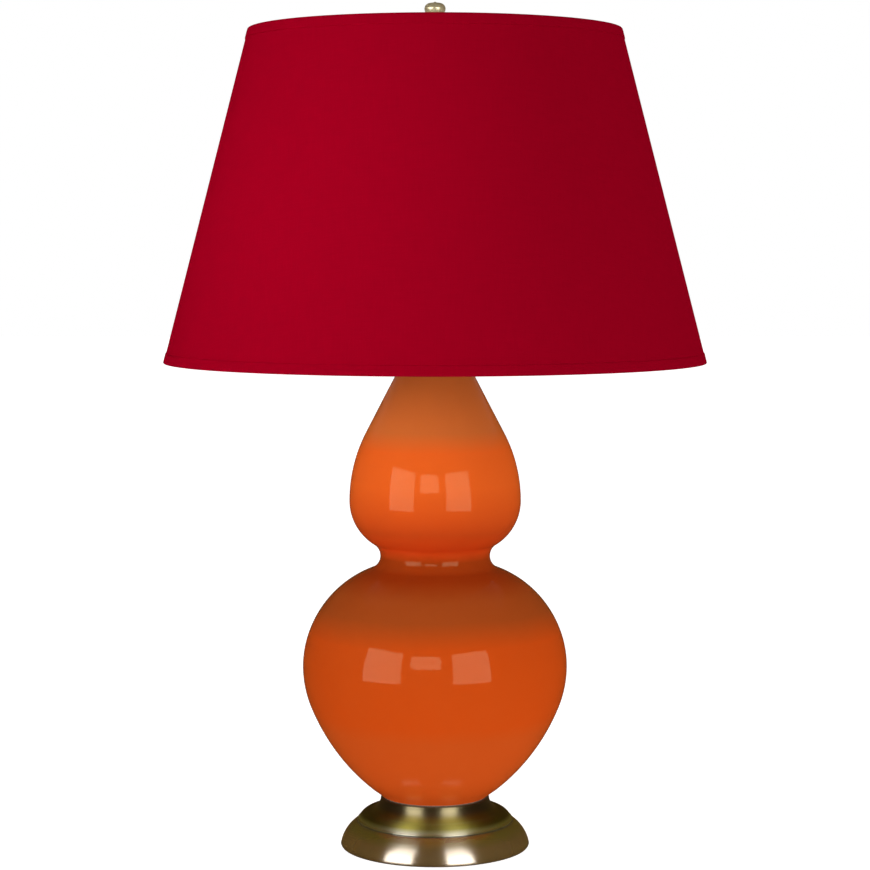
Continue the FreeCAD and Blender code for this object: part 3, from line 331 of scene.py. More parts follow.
def parts_of(tree, vector):
    return add(tree, "ShaderNodeSeparateXYZ", {0: vector}).outputs


def blended(tree, share, one, two):
    return add(tree, "ShaderNodeMix", {0: share, 6: one, 7: two}, data_type="RGBA").outputs[2]


def ramp(tree, value, low, high, start=0.0, end=1.0):
    return add(tree, "ShaderNodeMapRange", {0: value, 1: low, 2: high, 3: start, 4: end}).outputs[0]


def rgba(rgb):
    return (*rgb[:3], 1.0)


def noisy(tree, place, scale, detail):
    return add(tree, "ShaderNodeTexNoise", {"Vector": place, "Scale": scale, "Detail": detail}).outputs[0]


def group(name, inputs, outputs, build):
    """Shader node group, built once."""
    tree = bpy.data.node_groups.get(name)
    if tree:
        return tree
    tree = bpy.data.node_groups.new(name, "ShaderNodeTree")
    for label, kind, default in inputs:
        socket = tree.interface.new_socket(label, in_out="INPUT", socket_type=f"NodeSocket{kind}")
        if default is not None:
            socket.default_value = default
    for label in outputs:
        tree.interface.new_socket(label, in_out="OUTPUT", socket_type="NodeSocketFloat")
    given = tree.nodes.new("NodeGroupInput")
    result = tree.nodes.new("NodeGroupOutput")
    fill(result, build(tree, given.outputs))
    return tree


def placed(tree, kind, inputs):
    """Put a group made by one of the functions below into a material."""
    return add(tree, "ShaderNodeGroup", inputs, node_tree=kind()).outputs


def grain_group():
    """Uneven tone and fine pits, for cast, moulded, glazed and painted surfaces."""
    def build(tree, given):
        coarse = noisy(tree, given["Vector"], given["Scale"], 4.0)
        fine = noisy(tree, given["Vector"], maths(tree, "MULTIPLY", given["Scale"], 9.0), 3.0)
        tone = maths(tree, "MULTIPLY_ADD", fine, 0.3, maths(tree, "MULTIPLY", coarse, 0.7))
        return {"Tone": ramp(tree, tone, 0.3, 0.7), "Height": fine, "Swell": coarse}
    return group("surface_grain", [("Vector", "Vector", None), ("Scale", "Float", 40.0)],
                 ["Tone", "Height", "Swell"], build)


def lathe_group():
    """Fine rings round the lamp's axis, as spinning and turning leave on brass."""
    def build(tree, given):
        x, y, z = parts_of(tree, given["Vector"])
        across = maths(tree, "SQRT", maths(tree, "ADD", maths(tree, "MULTIPLY", x, x),
                                           maths(tree, "MULTIPLY", y, y)))
        angle = maths(tree, "ARCTAN2", y, x)
        place = add(tree, "ShaderNodeCombineXYZ", {0: maths(tree, "MULTIPLY", across, given["Scale"]),
                                                   1: maths(tree, "MULTIPLY", angle, 0.6),
                                                   2: maths(tree, "MULTIPLY", z, given["Scale"])})
        blotch = noisy(tree, given["Vector"], 35.0, 5.0)
        return {"Rings": noisy(tree, place.outputs[0], 1.0, 4.0), "Blotch": ramp(tree, blotch, 0.35, 0.68)}
    return group("lathe_marks", [("Vector", "Vector", None), ("Scale", "Float", 900.0)],
                 ["Rings", "Blotch"], build)


def weave_group():
    """Plain weave over flat cloth coordinates in metres, with slubs in the yarn."""
    def build(tree, given):
        turns = maths(tree, "DIVIDE", math.pi, given["Thread"])
        x, y, _ = parts_of(tree, given["Vector"])
        warp, weft = (maths(tree, "SINE", maths(tree, "MULTIPLY", way, turns)) for way in (x, y))
        over = maths(tree, "MULTIPLY", warp, weft)
        raised = (maths(tree, "MULTIPLY", maths(tree, "ABSOLUTE", yarn), ramp(tree, over, -1, 1, low, high))
                  for yarn, low, high in ((warp, 0.4, 1), (weft, 1, 0.4)))
        slubs = []
        for scale in ((40, 900, 1), (900, 40, 1)):
            drawn = add(tree, "ShaderNodeVectorMath", {0: given["Vector"], 1: scale}, operation="MULTIPLY")
            slubs.append(noisy(tree, drawn.outputs[0], 1.0, 2.0))
        mean = maths(tree, "MULTIPLY", maths(tree, "ADD", *slubs), 0.5)
        return {"Height": maths(tree, "MAXIMUM", *raised), "Slubs": ramp(tree, mean, 0.35, 0.65)}
    return group("plain_weave", [("Vector", "Vector", None), ("Thread", "Float", 0.0006)],
                 ["Height", "Slubs"], build)


def new_material(name):
    material = bpy.data.materials.new(name)
    material.use_nodes = True
    tree = material.node_tree
    shader = next(node for node in tree.nodes if node.type == "BSDF_PRINCIPLED")
    return material, tree, shader, add(tree, "ShaderNodeTexCoord").outputs["Object"]


def bump(tree, height, strength, distance):
    inputs = {"Height": height, "Strength": strength, "Distance": distance}
    return add(tree, "ShaderNodeBump", inputs).outputs[0]


# ---------------------------------------------------------------- finishes
def turned_metal(name, rgb, dark, roughness, rings=900.0, wear=0.5, **plain):
    """Spun or turned metal: tone and roughness follow the tool's rings and a blotchy tarnish."""
    material, tree, shader, place = new_material(name)
    marks = placed(tree, lathe_group, {"Vector": place, "Scale": rings})
    tint = blended(tree, maths(tree, "MULTIPLY", marks["Blotch"], wear), rgba(rgb), rgba(dark))
    feed(shader, Base_Color=tint, Metallic=1.0,
         Roughness=ramp(tree, marks["Rings"], 0.3, 0.7, roughness * 0.8, roughness * 1.25),
         Normal=bump(tree, marks["Rings"], 0.25, 0.00004))
    feed(shader, **plain)
    return material


def grainy(name, rgb, other, roughness, scale, depth, **plain):
    """Cast, moulded, pressed or painted surface with an uneven tone and fine pits."""
    material, tree, shader, place = new_material(name)
    grain = placed(tree, grain_group, {"Vector": place, "Scale": scale})
    feed(shader, Base_Color=blended(tree, grain["Tone"], rgba(rgb), rgba(other)),
         Roughness=ramp(tree, grain["Tone"], 0, 1, roughness * 0.85, roughness * 1.15),
         Normal=bump(tree, grain["Height"], 0.4, depth), **plain)
    return material


def glaze_finish(sizes, low, waist, head, top):
    """Orange glaze whose colour changes from level to level, with bare clay under the foot ring.
    The levels are painted light and shade: browner at the neck and on the slope under the
    waist, darkest at the waist, lighter under the upper lobe and over its top."""
    material, tree, shader, place = new_material("orange_glaze")
    grain = placed(tree, grain_group, {"Vector": place, "Scale": 9.0})
    height = parts_of(tree, place)[2]
    drift = maths(tree, "MULTIPLY_ADD", grain["Swell"], sizes.drift,
                  maths(tree, "SUBTRACT", height, sizes.drift / 2))

    tint = rgba(sizes.glaze_foot)
    # each level of painted light and shade, the level where it begins and the level where it has taken over
    for other, start, full in (
            (sizes.glaze_belly, waist - 0.158, waist - 0.144),
            (sizes.slope_painted_shade_and_reflection, waist - 0.071, waist - 0.048),
            (sizes.waist_painted_shade, waist - 0.032, waist - 0.016),
            (sizes.chin_painted_light, waist - 0.001, waist + 0.010),
            (sizes.lobe_painted_shade, waist + 0.012, waist + 0.027),
            (sizes.crown_painted_light, head - 0.028, head + 0.018),
            (sizes.neck_painted_shade_and_reflection, top - 0.090, top - 0.072)):
        tint = blended(tree, ramp(tree, drift, start, full), tint, rgba(other))
    # random tone, drawn a tenth of the way toward the neck's painted shade
    tint = blended(tree, maths(tree, "MULTIPLY", grain["Tone"], 0.10), tint, rgba(sizes.neck_painted_shade_and_reflection))
    bare = ramp(tree, height, low + 0.0002, low + 0.0005, 1.0, 0.0)
    gloss = ramp(tree, grain["Tone"], 0, 1, sizes.gloss * 0.7, sizes.gloss * 1.3)
    feed(shader, Base_Color=blended(tree, bare, tint, rgba(sizes.clay)),
         Roughness=maths(tree, "MAXIMUM", gloss, maths(tree, "MULTIPLY", bare, 0.85)),
         Normal=bump(tree, grain["Swell"], 0.12, 0.0012),
         IOR=1.25, Specular_IOR_Level=0.23, Specular_Tint=(1.0, 0.86, 0.50, 1.0))
    return material


def antique_brass_finish(foot, groove, rim, cove):
    """Spun brass under a brown patina, olive where it is shielded and dark on the collar; patina and
    painted shade in the groove; darker along the table line. The spinning rings draw its
    highlights out up and down."""
    material, tree, shader, place = new_material("antique_brass")
    marks = placed(tree, lathe_group, {"Vector": place, "Scale": 700.0})
    height = parts_of(tree, place)[2]
    near = maths(tree, "ABSOLUTE", maths(tree, "SUBTRACT", height, groove))

    # tarnish blotches, then patina and painted shade in the groove, darker along the table line, and patina
    # on the collar
    dark = maths(tree, "MULTIPLY", marks["Blotch"], 0.3)
    for share in (ramp(tree, near, 0.0004, 0.0016, 0.9, 0.0),
                  ramp(tree, height, rim, rim + 0.003, 0.4, 0.0),
                  ramp(tree, height, cove + 0.001, cove + 0.006, 0.0, 0.9)):
        dark = maths(tree, "MAXIMUM", dark, share)
    shielded = maths(tree, "MULTIPLY", ramp(tree, height, groove, groove + 0.003),
                     ramp(tree, height, cove, cove + 0.006, 1.0, 0.0))
    mossy = maths(tree, "MAXIMUM", shielded, ramp(tree, height, groove - 0.011, groove - 0.004, 0.0, 0.8))
    tint = blended(tree, mossy, rgba(foot.brass), rgba(foot.olive))
    dull = maths(tree, "MAXIMUM", ramp(tree, shielded, 0, 1, 0.0, 0.3),
                 ramp(tree, height, cove, cove + 0.003, 0.0, 0.14))
    feed(shader, Base_Color=blended(tree, dark, tint, rgba(foot.patina)),
         Roughness=maths(tree, "ADD", dull, ramp(tree, marks["Rings"], 0.3, 0.7, 0.22, 0.27)),
         Metallic=ramp(tree, height, groove + 0.003, groove + 0.006, 0.3, 0.88),
         Normal=bump(tree, marks["Rings"], 0.06, 0.00004),
         IOR=2.4, Anisotropic=0.92, Anisotropic_Rotation=0.25)
    return material


def cloth_finish(name, cloth, share):
    """Dyed plain weave on flat cloth coordinates kept in the mesh's map."""
    material, tree, shader, _ = new_material(name)
    flat = add(tree, "ShaderNodeUVMap", uv_map="flat").outputs[0]
    weave = placed(tree, weave_group, {"Vector": flat, "Thread": cloth.thread})
    dark, light = ([channel * tone for channel in cloth.dye] for tone in (share, 1.06))
    tone = maths(tree, "MULTIPLY_ADD", weave["Slubs"], 0.6, maths(tree, "MULTIPLY", weave["Height"], 0.4))
    feed(shader, Base_Color=blended(tree, tone, rgba(dark), rgba(light)),
         Normal=bump(tree, weave["Height"], 0.35, 0.00012), Roughness=0.9, Specular_IOR_Level=0.0,
         Sheen_Weight=0.02, Sheen_Roughness=0.5, Sheen_Tint=(1.0, 0.02, 0.06, 1.0))
    return material


def glass_finish(name, rgb, roughness):
    """Clear drawn glass."""
    material, tree, shader, place = new_material(name)
    grain = placed(tree, grain_group, {"Vector": place, "Scale": 60.0})
    feed(shader, Roughness=ramp(tree, grain["Tone"], 0, 1, roughness * 0.9, roughness * 1.1),
         Base_Color=rgba(rgb), Transmission_Weight=1.0, IOR=1.45)
    return material


def thread_shape(depth, start, end, fade_in, fade_out, pitch=0.0036):
    """Radius that a rolled thread draws in by depth between two levels."""
    def shape(radius, height, angle):
        inside = min(max((height - start) / fade_in, 0), max((end - height) / fade_out, 0), 1)
        return radius - depth * inside * (0.5 - 0.5 * math.cos(TAU * height / pitch - angle))
    return shape


def shown_in(name):
    """Collection of the pieces that certain windows show in, so that others stay dark."""
    return bpy.data.collections.get(name) or bpy.data.collections.new(name)


# ---------------------------------------------------------------- gourd
def gourd_outline(sizes, low, high, belly):
    """Outer line of the gourd from its foot ring to the top of its neck."""
    def from_upright(inset, drop):
        return (inset ** 2 + drop ** 2) / (2 * inset)

    waist_level = sizes.belly_height + sizes.waist_rise
    head_level = waist_level + sizes.head_rise
    waist_centre = sizes.waist_radius + sizes.waist_arc

    flank_arc = from_upright(sizes.flank_inset, sizes.flank_drop)
    join = (belly - sizes.flank_inset, sizes.belly_height - sizes.flank_drop)
    away = join[0] - sizes.foot_radius
    leaning = (away * (flank_arc - sizes.flank_inset) - join[1] * sizes.flank_drop) / flank_arc
    taper_arc = (away ** 2 + join[1] ** 2) / (2 * leaning)

    def lobe_arc(radius, rise):
        gap = waist_centre - radius
        return (gap ** 2 + rise ** 2 - sizes.waist_arc ** 2) / (2 * (sizes.waist_arc - gap))

    def touch(radius, height, arc):
        share = arc / (arc + sizes.waist_arc)
        centre = radius - arc
        return centre + (waist_centre - centre) * share, height + (waist_level - height) * share

    belly_arc = lobe_arc(belly, sizes.waist_rise)
    head_arc = lobe_arc(sizes.head_radius, sizes.head_rise)
    corners = [
        (sizes.foot_radius, 0),
        join,
        (belly, sizes.belly_height),
        touch(belly, sizes.belly_height, belly_arc),
        touch(sizes.head_radius, head_level, head_arc),
        (sizes.head_radius, head_level),
        (sizes.head_radius - sizes.brow_inset, head_level + sizes.brow_rise),
    ]
    rounds = [(taper_arc, 1), (flank_arc, 1), (belly_arc, 1), (sizes.waist_arc, -1), (head_arc, 1),
              (from_upright(sizes.brow_inset, sizes.brow_rise), 1)]
    points = [corners[0]]
    for start, finish, (arc, turn) in zip(corners, corners[1:], rounds):
        points += arc_points(start, finish, arc, turn, math.radians(2))
    points += line_points(points[-1], (sizes.neck_radius, high - low), 24)
    return [(radius, height + low) for radius, height in points]


class LAMP_OT_gourd(bpy.types.Operator):
    """Glazed gourd with the slight unevenness of cast ceramic"""
    bl_idname = "lamp.gourd"
    bl_label = "Gourd"

    def execute(self, context):
        sizes = context.scene.lamp_gourd
        low, high, belly = span("gourd_body")
        foot, neck = sizes.foot_radius, sizes.neck_radius
        lip, bore, neck_depth = 0.0015, 0.0055, 0.03
        unevenness, full_radius = 0.00035, 0.05
        inner = [(neck - sizes.wall, high - lip), (neck - sizes.wall, high - neck_depth),
                 (foot - sizes.wall, low + sizes.wall), (bore, low + sizes.wall), (bore, low)]
        foot_round = arc_points((foot - 0.0012, low), (foot + 0.0005, low + 0.0007), 0.0015, 1)
        outer = gourd_outline(sizes, low, high, belly)[2:-1]
        points = foot_round + outer + [(neck + 0.0002, high - 0.0012), (neck - lip, high)] + inner

        def uneven(radius, height, angle):
            spot = Vector((math.cos(angle) * 1.6, math.sin(angle) * 1.6, height * 14))
            return radius + noise.noise(spot) * unevenness * min(1, radius / full_radius)

        gourd = spin("gourd", points, 288, uneven, sharp=50)
        waist = low + sizes.belly_height + sizes.waist_rise
        glaze = glaze_finish(sizes, low, waist, waist + sizes.head_rise, high)
        dress(gourd, "stand", "orange_glaze", glaze, "gourd_body")
        shown_in("glaze").objects.link(gourd)
        return {"FINISHED"}


# ---------------------------------------------------------------- foot
class LAMP_OT_foot(bpy.types.Operator):
    """Spun foot with its felt pad and the bushing of the cord inlet"""
    bl_idname = "lamp.foot"
    bl_label = "Foot"

    def execute(self, context):
        self.spinning(context.scene.lamp_foot)
        self.felt()
        self.bushing()
        return {"FINISHED"}

    def spinning(self, foot):
        rim_low, top, radius = span("foot_shell")
        wall, collar, edge = foot.wall, foot.collar_radius, foot.collar_edge
        cove, cove_level = collar + foot.cove_width, top - foot.cove_depth
        bead, bead_level = cove + foot.shoulder_width, cove_level - foot.shoulder_depth
        groove_level = bead_level - foot.bead - foot.groove
        lip, hole, rim = 0.0009, 0.0052, rim_low + 0.0017
        corners = [
            (hole, top - wall), (hole, top),
            (collar - edge, top),
            (collar, top - edge),
            (cove, cove_level),
            (bead, bead_level),
            (bead + foot.bead, bead_level - foot.bead),
            (bead + foot.bead - foot.groove, groove_level),
            (radius, rim),
            (radius - lip, rim_low),
            (radius - wall, rim_low + 0.0005),
            (radius - wall, rim),
            (bead - wall, bead_level - foot.bead - wall),
            (cove - wall, cove_level - wall),
            (collar - wall, top - wall - edge),
            (collar - wall - edge, top - wall),
        ]
        rounds = {2: (edge, -1), 3: (foot.cove_arc, 1), 4: (foot.shoulder_arc, -1),
                  5: (foot.bead, -1), 7: (foot.dome_arc, -1), 8: (0.003, -1),
                  11: (foot.dome_arc - wall, 1), 13: (foot.cove_arc + wall, -1)}
        shell = spin("foot_spinning", outline(corners, rounds, 0.003), 256, sharp=50)
        brass = antique_brass_finish(foot, groove_level, rim_low, cove_level)
        dress(shell, "stand", "antique_brass", brass, "foot_shell")
        shown_in("brass").objects.link(shell)

    def felt(self):
        _, top, radius = span("foot_felt")
        pad = [(0, 0.0), (radius - 0.0012, 0.0), (radius - 0.0003, 0.0005), (radius, top / 2),
               (radius - 0.0004, top - 0.0004), (radius - 0.001, top), (0, top)]
        felt = spin("felt_pad", outline(pad, None, 0.008), 192, sharp=60)
        material = grainy("felt", (0.018, 0.035, 0.022), (0.03, 0.055, 0.036), 0.95, 260.0, 0.0004,
                          Sheen_Weight=0.3)
        dress(felt, "stand", "felt", material, "foot_felt")

    def bushing(self):
        low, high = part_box("cord_bushing")
        bore, flange, core, plate = 0.0039, high[0], 0.0049, 0.0022
        outside, inside = high[1] - plate, low[1] + plate
        section = softened([(bore, low[1]), (flange, low[1]), (flange, inside), (core, inside),
                            (core, outside), (flange, outside), (flange - 0.0006, high[1]),
                            (bore + 0.0008, high[1])], 0.0006)
        bushing = spin("inlet_bushing", section, 64, axis="Y", at=(0, 0, middle_level("cord_bushing")))
        black = grainy("bushing_plastic", (0.012, 0.012, 0.012), (0.022, 0.022, 0.022), 0.42, 300.0, 0.00005)
        dress(bushing, "stand", "bushing_plastic", black, "cord_bushing")


# ---------------------------------------------------------------- neck
class LAMP_OT_neck(bpy.types.Operator):
    """Vase cap and turned spindle over the gourd's neck"""
    bl_idname = "lamp.neck"
    bl_label = "Neck fittings"

    def execute(self, context):
        brass = turned_metal("polished_brass", context.scene.lamp_metals.brass, (0.38, 0.25, 0.10), 0.17,
                             wear=0.35, Coat_Weight=0.5, Coat_Roughness=0.1)
        hole = 0.0051
        low, high, edge = span("vase_cap")
        wall, seat, lip, arc, bend = 0.0012, 0.009, 0.0018, 0.034, 0.0009
        corners = [(hole, high - wall), (hole, high), (seat, high), (edge - lip, low + lip + bend),
                   (edge, low + lip), (edge, low), (edge - wall, low), (edge - wall, low + lip - wall / 2),
                   (seat, high - wall)]
        rounds = {2: (arc, -1), 3: (0.0011, -1), 4: (0.0012, -1), 7: (arc - wall, 1)}
        cap = spin("neck_cap", outline(corners, rounds, 0.003), 160)
        dress(cap, "stand", "polished_brass", brass, "vase_cap")

        low, high, end = span("neck_spindle")
        tall, neck, edge, cove = high - low, 0.0062, 0.0006, 0.0033
        corners = [(hole, low), (end - edge, low), (end, low + edge), (end, low + tall * 0.16),
                   (neck, low + tall * 0.36), (neck, low + tall * 0.44), (end * 0.93, low + tall * 0.5),
                   (neck, low + tall * 0.56), (neck, low + tall * 0.64), (end, low + tall * 0.84),
                   (end, high - edge), (end - edge, high), (hole, high)]
        spindle = spin("neck_turning", outline(corners, {3: (cove, 1), 8: (cove, 1)}), 128)
        dress(spindle, "stand", "polished_brass", brass, "neck_spindle")
        return {"FINISHED"}


# ---------------------------------------------------------------- socket
class LAMP_OT_socket(bpy.types.Operator):
    """Socket cap, beaded shell and threaded inner shell"""
    bl_idname = "lamp.socket"
    bl_label = "Socket"

    def execute(self, context):
        brass = turned_metal("socket_brass", context.scene.lamp_metals.brass, (0.45, 0.31, 0.13), 0.24,
                             rings=500.0, wear=0.4, Coat_Weight=0.3)
        low, high, cup = span("socket_cap")
        neck, wall, hole, tall, bulge = 0.0072, 0.0007, 0.005, 0.007, 0.0004
        corners = [(hole, low), (neck - 0.0005, low), (neck, low + 0.0005), (neck, low + tall),
                   (cup - 0.0015, low + tall + 0.005), (cup, low + tall + 0.0075), (cup, high - 0.0025),
                   (cup + bulge, high - 0.0017), (cup + bulge, high - 0.0008), (cup, high),
                   (cup - wall, high), (cup - wall, low + tall + 0.006), (neck - wall, low + tall + wall),
                   (hole, low + tall + wall)]
        cap = spin("socket_base", outline(corners, {3: (0.012, -1), 4: (0.004, -1)}), 128)
        dress(cap, "stand", "socket_brass", brass, "socket_cap")

        low, high, outer = span("socket_shell")
        inner, edge, bead = outer - wall, 0.0003, 0.00045
        beads = [(high - 0.0075, 0.0011), (high - 0.0105, 0.0011), (low + 0.0215, 0.0013)]
        mouth, mouth_depth = 0.0006, 0.002

        def beaded(radius, height, angle):
            swell = sum(bead * math.exp(-((height - at) / width) ** 2) for at, width in beads)
            return radius + swell - mouth * max(0, 1 - (high - height) / mouth_depth)

        points = [(inner, low), (outer, low), (outer, high - edge), (outer - edge, high),
                  (inner, high - edge)]
        shell = spin("socket_sleeve", outline(points, None, 0.0008), 128, beaded)
        window_radius = 0.003
        punch(shell, window_radius, middle_level("switch_shaft"))
        dress(shell, "stand", "socket_brass", brass, "socket_shell")

        low, high, outer = span("screw_shell")
        inner = outer - 0.0004
        points = [(inner, low), (outer, low), (outer, high), (inner, high)]
        grooved = thread_shape(-0.00035, low + 0.002, high - 0.001, 0.002, 0.001)
        liner = spin("socket_thread", outline(points, None, 0.0004), 96, grooved)
        dress(liner, "stand", "socket_brass", brass, "screw_shell")

        fibre = grainy("socket_fibre", (0.20, 0.14, 0.085), (0.27, 0.19, 0.12), 0.8, 160.0, 0.0001)
        finish_nodes(fibre, "socket_insulator")
        moulding = grainy("socket_moulding", (0.010, 0.009, 0.009), (0.02, 0.018, 0.017), 0.3, 200.0,
                          0.00003, Coat_Weight=0.3)
        finish_nodes(moulding, "socket_block")
        contact = turned_metal("contact_metal", (0.62, 0.58, 0.47), (0.40, 0.34, 0.22), 0.3, 600.0)
        finish_nodes(contact, "centre_contact", "terminal_screw_left", "terminal_screw_right", "bulb_contact")
        return {"FINISHED"}


def punch(piece, radius, height):
    """Cut the round window for the switch shaft out of the front of a sleeve."""
    depth, forward = 0.03, 0.016
    bpy.ops.mesh.primitive_cylinder_add(vertices=32, radius=radius, depth=depth,
                                        location=(0, -forward, height), rotation=(math.pi / 2, 0, 0))
    tool = bpy.context.object
    cut = piece.modifiers.new("window", "BOOLEAN")
    cut.object = tool
    cut.solver = "EXACT"
    bpy.context.view_layer.objects.active = piece
    bpy.ops.object.modifier_apply(modifier=cut.name)
    bpy.data.objects.remove(tool)


# ---------------------------------------------------------------- switch
class LAMP_OT_switch(bpy.types.Operator):
    """Ribbed turn knob on its shaft"""
    bl_idname = "lamp.switch"
    bl_label = "Switch"

    def execute(self, context):
        low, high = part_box("switch_knob")
        start, end, wide = -high[1], -low[1], high[0]
        small, shaft, cap, ribs, rib_depth = 0.0046, 0.002, 0.004, 18, 0.00045

        def ribbed(radius, depth, angle):
            share = (depth - start) / (end - start)
            inside = min(max((share - 0.18) / 0.06, 0), max((0.93 - share) / 0.05, 0), 1)
            if radius < small:
                return radius
            return radius - rib_depth * inside * (0.5 - 0.5 * math.cos(ribs * angle)) ** 0.6

        section = softened([(shaft, start), (small, start), (wide, end), (0, end), (0, end - cap),
                            (shaft, end - cap)], 0.0012)
        knob = spin("turn_knob", outline(section, None, 0.0008), 144, ribbed, axis="-Y",
                    at=(0, 0, middle_level("switch_knob")))
        black = grainy("knob_plastic", (0.010, 0.009, 0.008), (0.016, 0.014, 0.013), 0.28, 250.0, 0.00003,
                       Coat_Weight=0.4)
        dress(knob, "switch", "knob_plastic", black, "switch_knob")
        return {"FINISHED"}


# ---------------------------------------------------------------- bulb
class LAMP_OT_bulb(bpy.types.Operator):
    """Frosted bulb with its rolled thread"""
    bl_idname = "lamp.bulb"
    bl_label = "Bulb"

    def execute(self, context):
        low, high, globe = span("bulb_glass")
        neck, neck_top, flare, flare_arc, wall = 0.0122, low + 0.012, 0.021, 0.046, 0.0008
        flare_top, middle = neck_top + 0.022, high - globe
        bulge = globe - flare
        side = (bulge ** 2 + (middle - flare_top) ** 2) / (2 * bulge)
        corners = [(neck - wall, low), (neck, low), (neck, neck_top), (flare, flare_top), (globe, middle),
                   (0, high), (0, high - wall), (globe - wall, middle), (flare - wall, flare_top),
                   (neck - wall, neck_top)]
        rounds = {2: (flare_arc, -1), 3: (side, 1), 4: (globe, 1), 6: (globe - wall, -1),
                  7: (side - wall, -1), 8: (flare_arc + wall, 1)}
        glass = spin("lamp_glass", outline(corners, rounds), 128, sharp=60)
        frosted = grainy("bulb_glass", (0.90, 0.89, 0.86), (0.84, 0.83, 0.79), 0.22, 30.0, 0.00003,
                         Coat_Weight=0.5, Coat_Roughness=0.12)
        dress(glass, "bulb", "bulb_glass", frosted, "bulb_glass")

        low, high, outer = span("bulb_screw_cap")
        inner, button, fade = outer - 0.0011, 0.0095, 0.0036
        points = outline([(button, low), (outer - 0.0006, low + 0.0019), (outer, low + 0.0027),
                          (outer, high - 0.0012), (outer - 0.0005, high), (inner, high), (inner, low + 0.003),
                          (button, low + 0.0005)], None, 0.0004)
        rolled = thread_shape(0.0007, low + 0.003, high - 0.003, fade, fade)

        def outer_only(radius, height, angle):
            return rolled(radius, height, angle) if radius > outer - 0.0003 else radius

        cap = spin("lamp_thread", points, 96, outer_only, sharp=60)
        bare = turned_metal("bulb_cap_metal", context.scene.lamp_metals.aluminium, (0.5, 0.5, 0.5), 0.25,
                            500.0, 0.4)
        dress(cap, "bulb", "bulb_cap_metal", bare, "bulb_screw_cap")
        button_glass = grainy("bulb_button", (0.012, 0.012, 0.02), (0.02, 0.02, 0.03), 0.15, 120.0, 0.00003)
        finish_nodes(button_glass, "bulb_insulator")
        finish_nodes(glass_finish("stem_glass", (0.95, 0.97, 0.96), 0.04), "bulb_stem")
        filament = turned_metal("filament_wire", (0.30, 0.29, 0.28), (0.2, 0.19, 0.18), 0.4)
        finish_nodes(filament, "bulb_filament")
        return {"FINISHED"}


# ---------------------------------------------------------------- harp
class LAMP_OT_harp(bpy.types.Operator):
    """Locking sleeves of the harp, and the finish of its wire, stud and saddle"""
    bl_idname = "lamp.harp"
    bl_label = "Harp"

    def execute(self, context):
        metals = context.scene.lamp_metals
        wire = grainy("harp_brass", metals.brass, (0.50, 0.36, 0.16), 0.26, 90.0, 0.00004, Metallic=1.0)
        finish_nodes(wire, "harp_loop", "harp_stud", "harp_saddle")
        bright = grainy("sleeve_brass", metals.brass, (0.55, 0.38, 0.16), 0.2, 120.0, 0.00003, Metallic=1.0,
                        Coat_Weight=0.4)
        wall, edge, band, waist = 0.0011, 0.0002, 0.0014, 0.0004
        for side in ("left", "right"):
            node = f"harp_sleeve_{side}"
            low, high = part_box(node)
            middle, outer = (low[0] + high[0]) / 2, (high[0] - low[0]) / 2
            half = [(outer - wall, 0), (outer - edge, 0), (outer, 0.0005), (outer, 0.001),
                    (outer - waist, band)]
            corners = [(radius, low[2] + depth) for radius, depth in half]
            corners += [(radius, high[2] - depth) for radius, depth in reversed(half)]
            sleeve = spin(f"locking_sleeve_{side}", outline(corners, None, 0.001), 64,
                          at=(middle, 0, 0), sharp=30)
            dress(sleeve, f"sleeve_{side}", "polished_brass", bright, node)
        return {"FINISHED"}


# ---------------------------------------------------------------- shade
class Cone:
    """The shade's cone, read from the frame, and the flat cut of its cloth."""

    def __init__(self):
        bottom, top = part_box("shade_bottom_trim"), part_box("shade_top_trim")
        self.low, self.high = bottom[0][2], top[1][2]
        self.wide = bottom[1][0]
        self.skin = self.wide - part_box("shade_fabric")[1][0]
        self.slope = (self.wide - top[1][0]) / (top[0][2] - self.low)
        self.lean = math.atan(self.slope)
        self.apex = self.low + self.wide / self.slope

    def radius(self, height, inset=0.0):
        return self.wide - self.slope * (height - self.low) - inset

    def slant(self, height):
        return (self.apex - height) / math.cos(self.lean)

    def flat(self, height, angle):
        """Place on the flat cut, where the cone's cloth is a ring sector."""
        turn = (angle - math.pi * 1.5) * math.sin(self.lean)
        return self.slant(height) * math.sin(turn), -self.slant(height) * math.cos(turn)


def cone_band(name, rows, cone, segments=256, start=0.0, sweep=TAU, lift=None):
    """Cloth band round the cone from rows of (inset, height), with its flat cut as a map.

    A whole turn closes on itself; a part turn is a strip with two ends.
    """
    whole = abs(sweep - TAU) < 1e-6
    columns = segments if whole else segments + 1

    def at(step):
        return start + sweep * step / segments

    verts = []
    for inset, height in rows:
        for step in range(columns):
            out = cone.radius(height, inset) + (lift(height, at(step)) if lift else 0)
            verts.append((out * math.cos(at(step)), out * math.sin(at(step)), height))
    faces, spots = [], []
    for row in range(len(rows)):
        below = (row + 1) % len(rows)
        for step in range(segments):
            after = (step + 1) % columns
            faces.append((row * columns + step, row * columns + after,
                          below * columns + after, below * columns + step))
            spots += [cone.flat(rows[line][1], at(step + more))
                      for line, more in ((row, 0), (row, 1), (below, 1), (below, 0))]
    if not whole:
        for step in (0, segments):
            faces.append([row * columns + step for row in range(len(rows))])
            spots += [cone.flat(height, at(step)) for inset, height in rows]
    return solid(name, verts, faces, 50, spots)


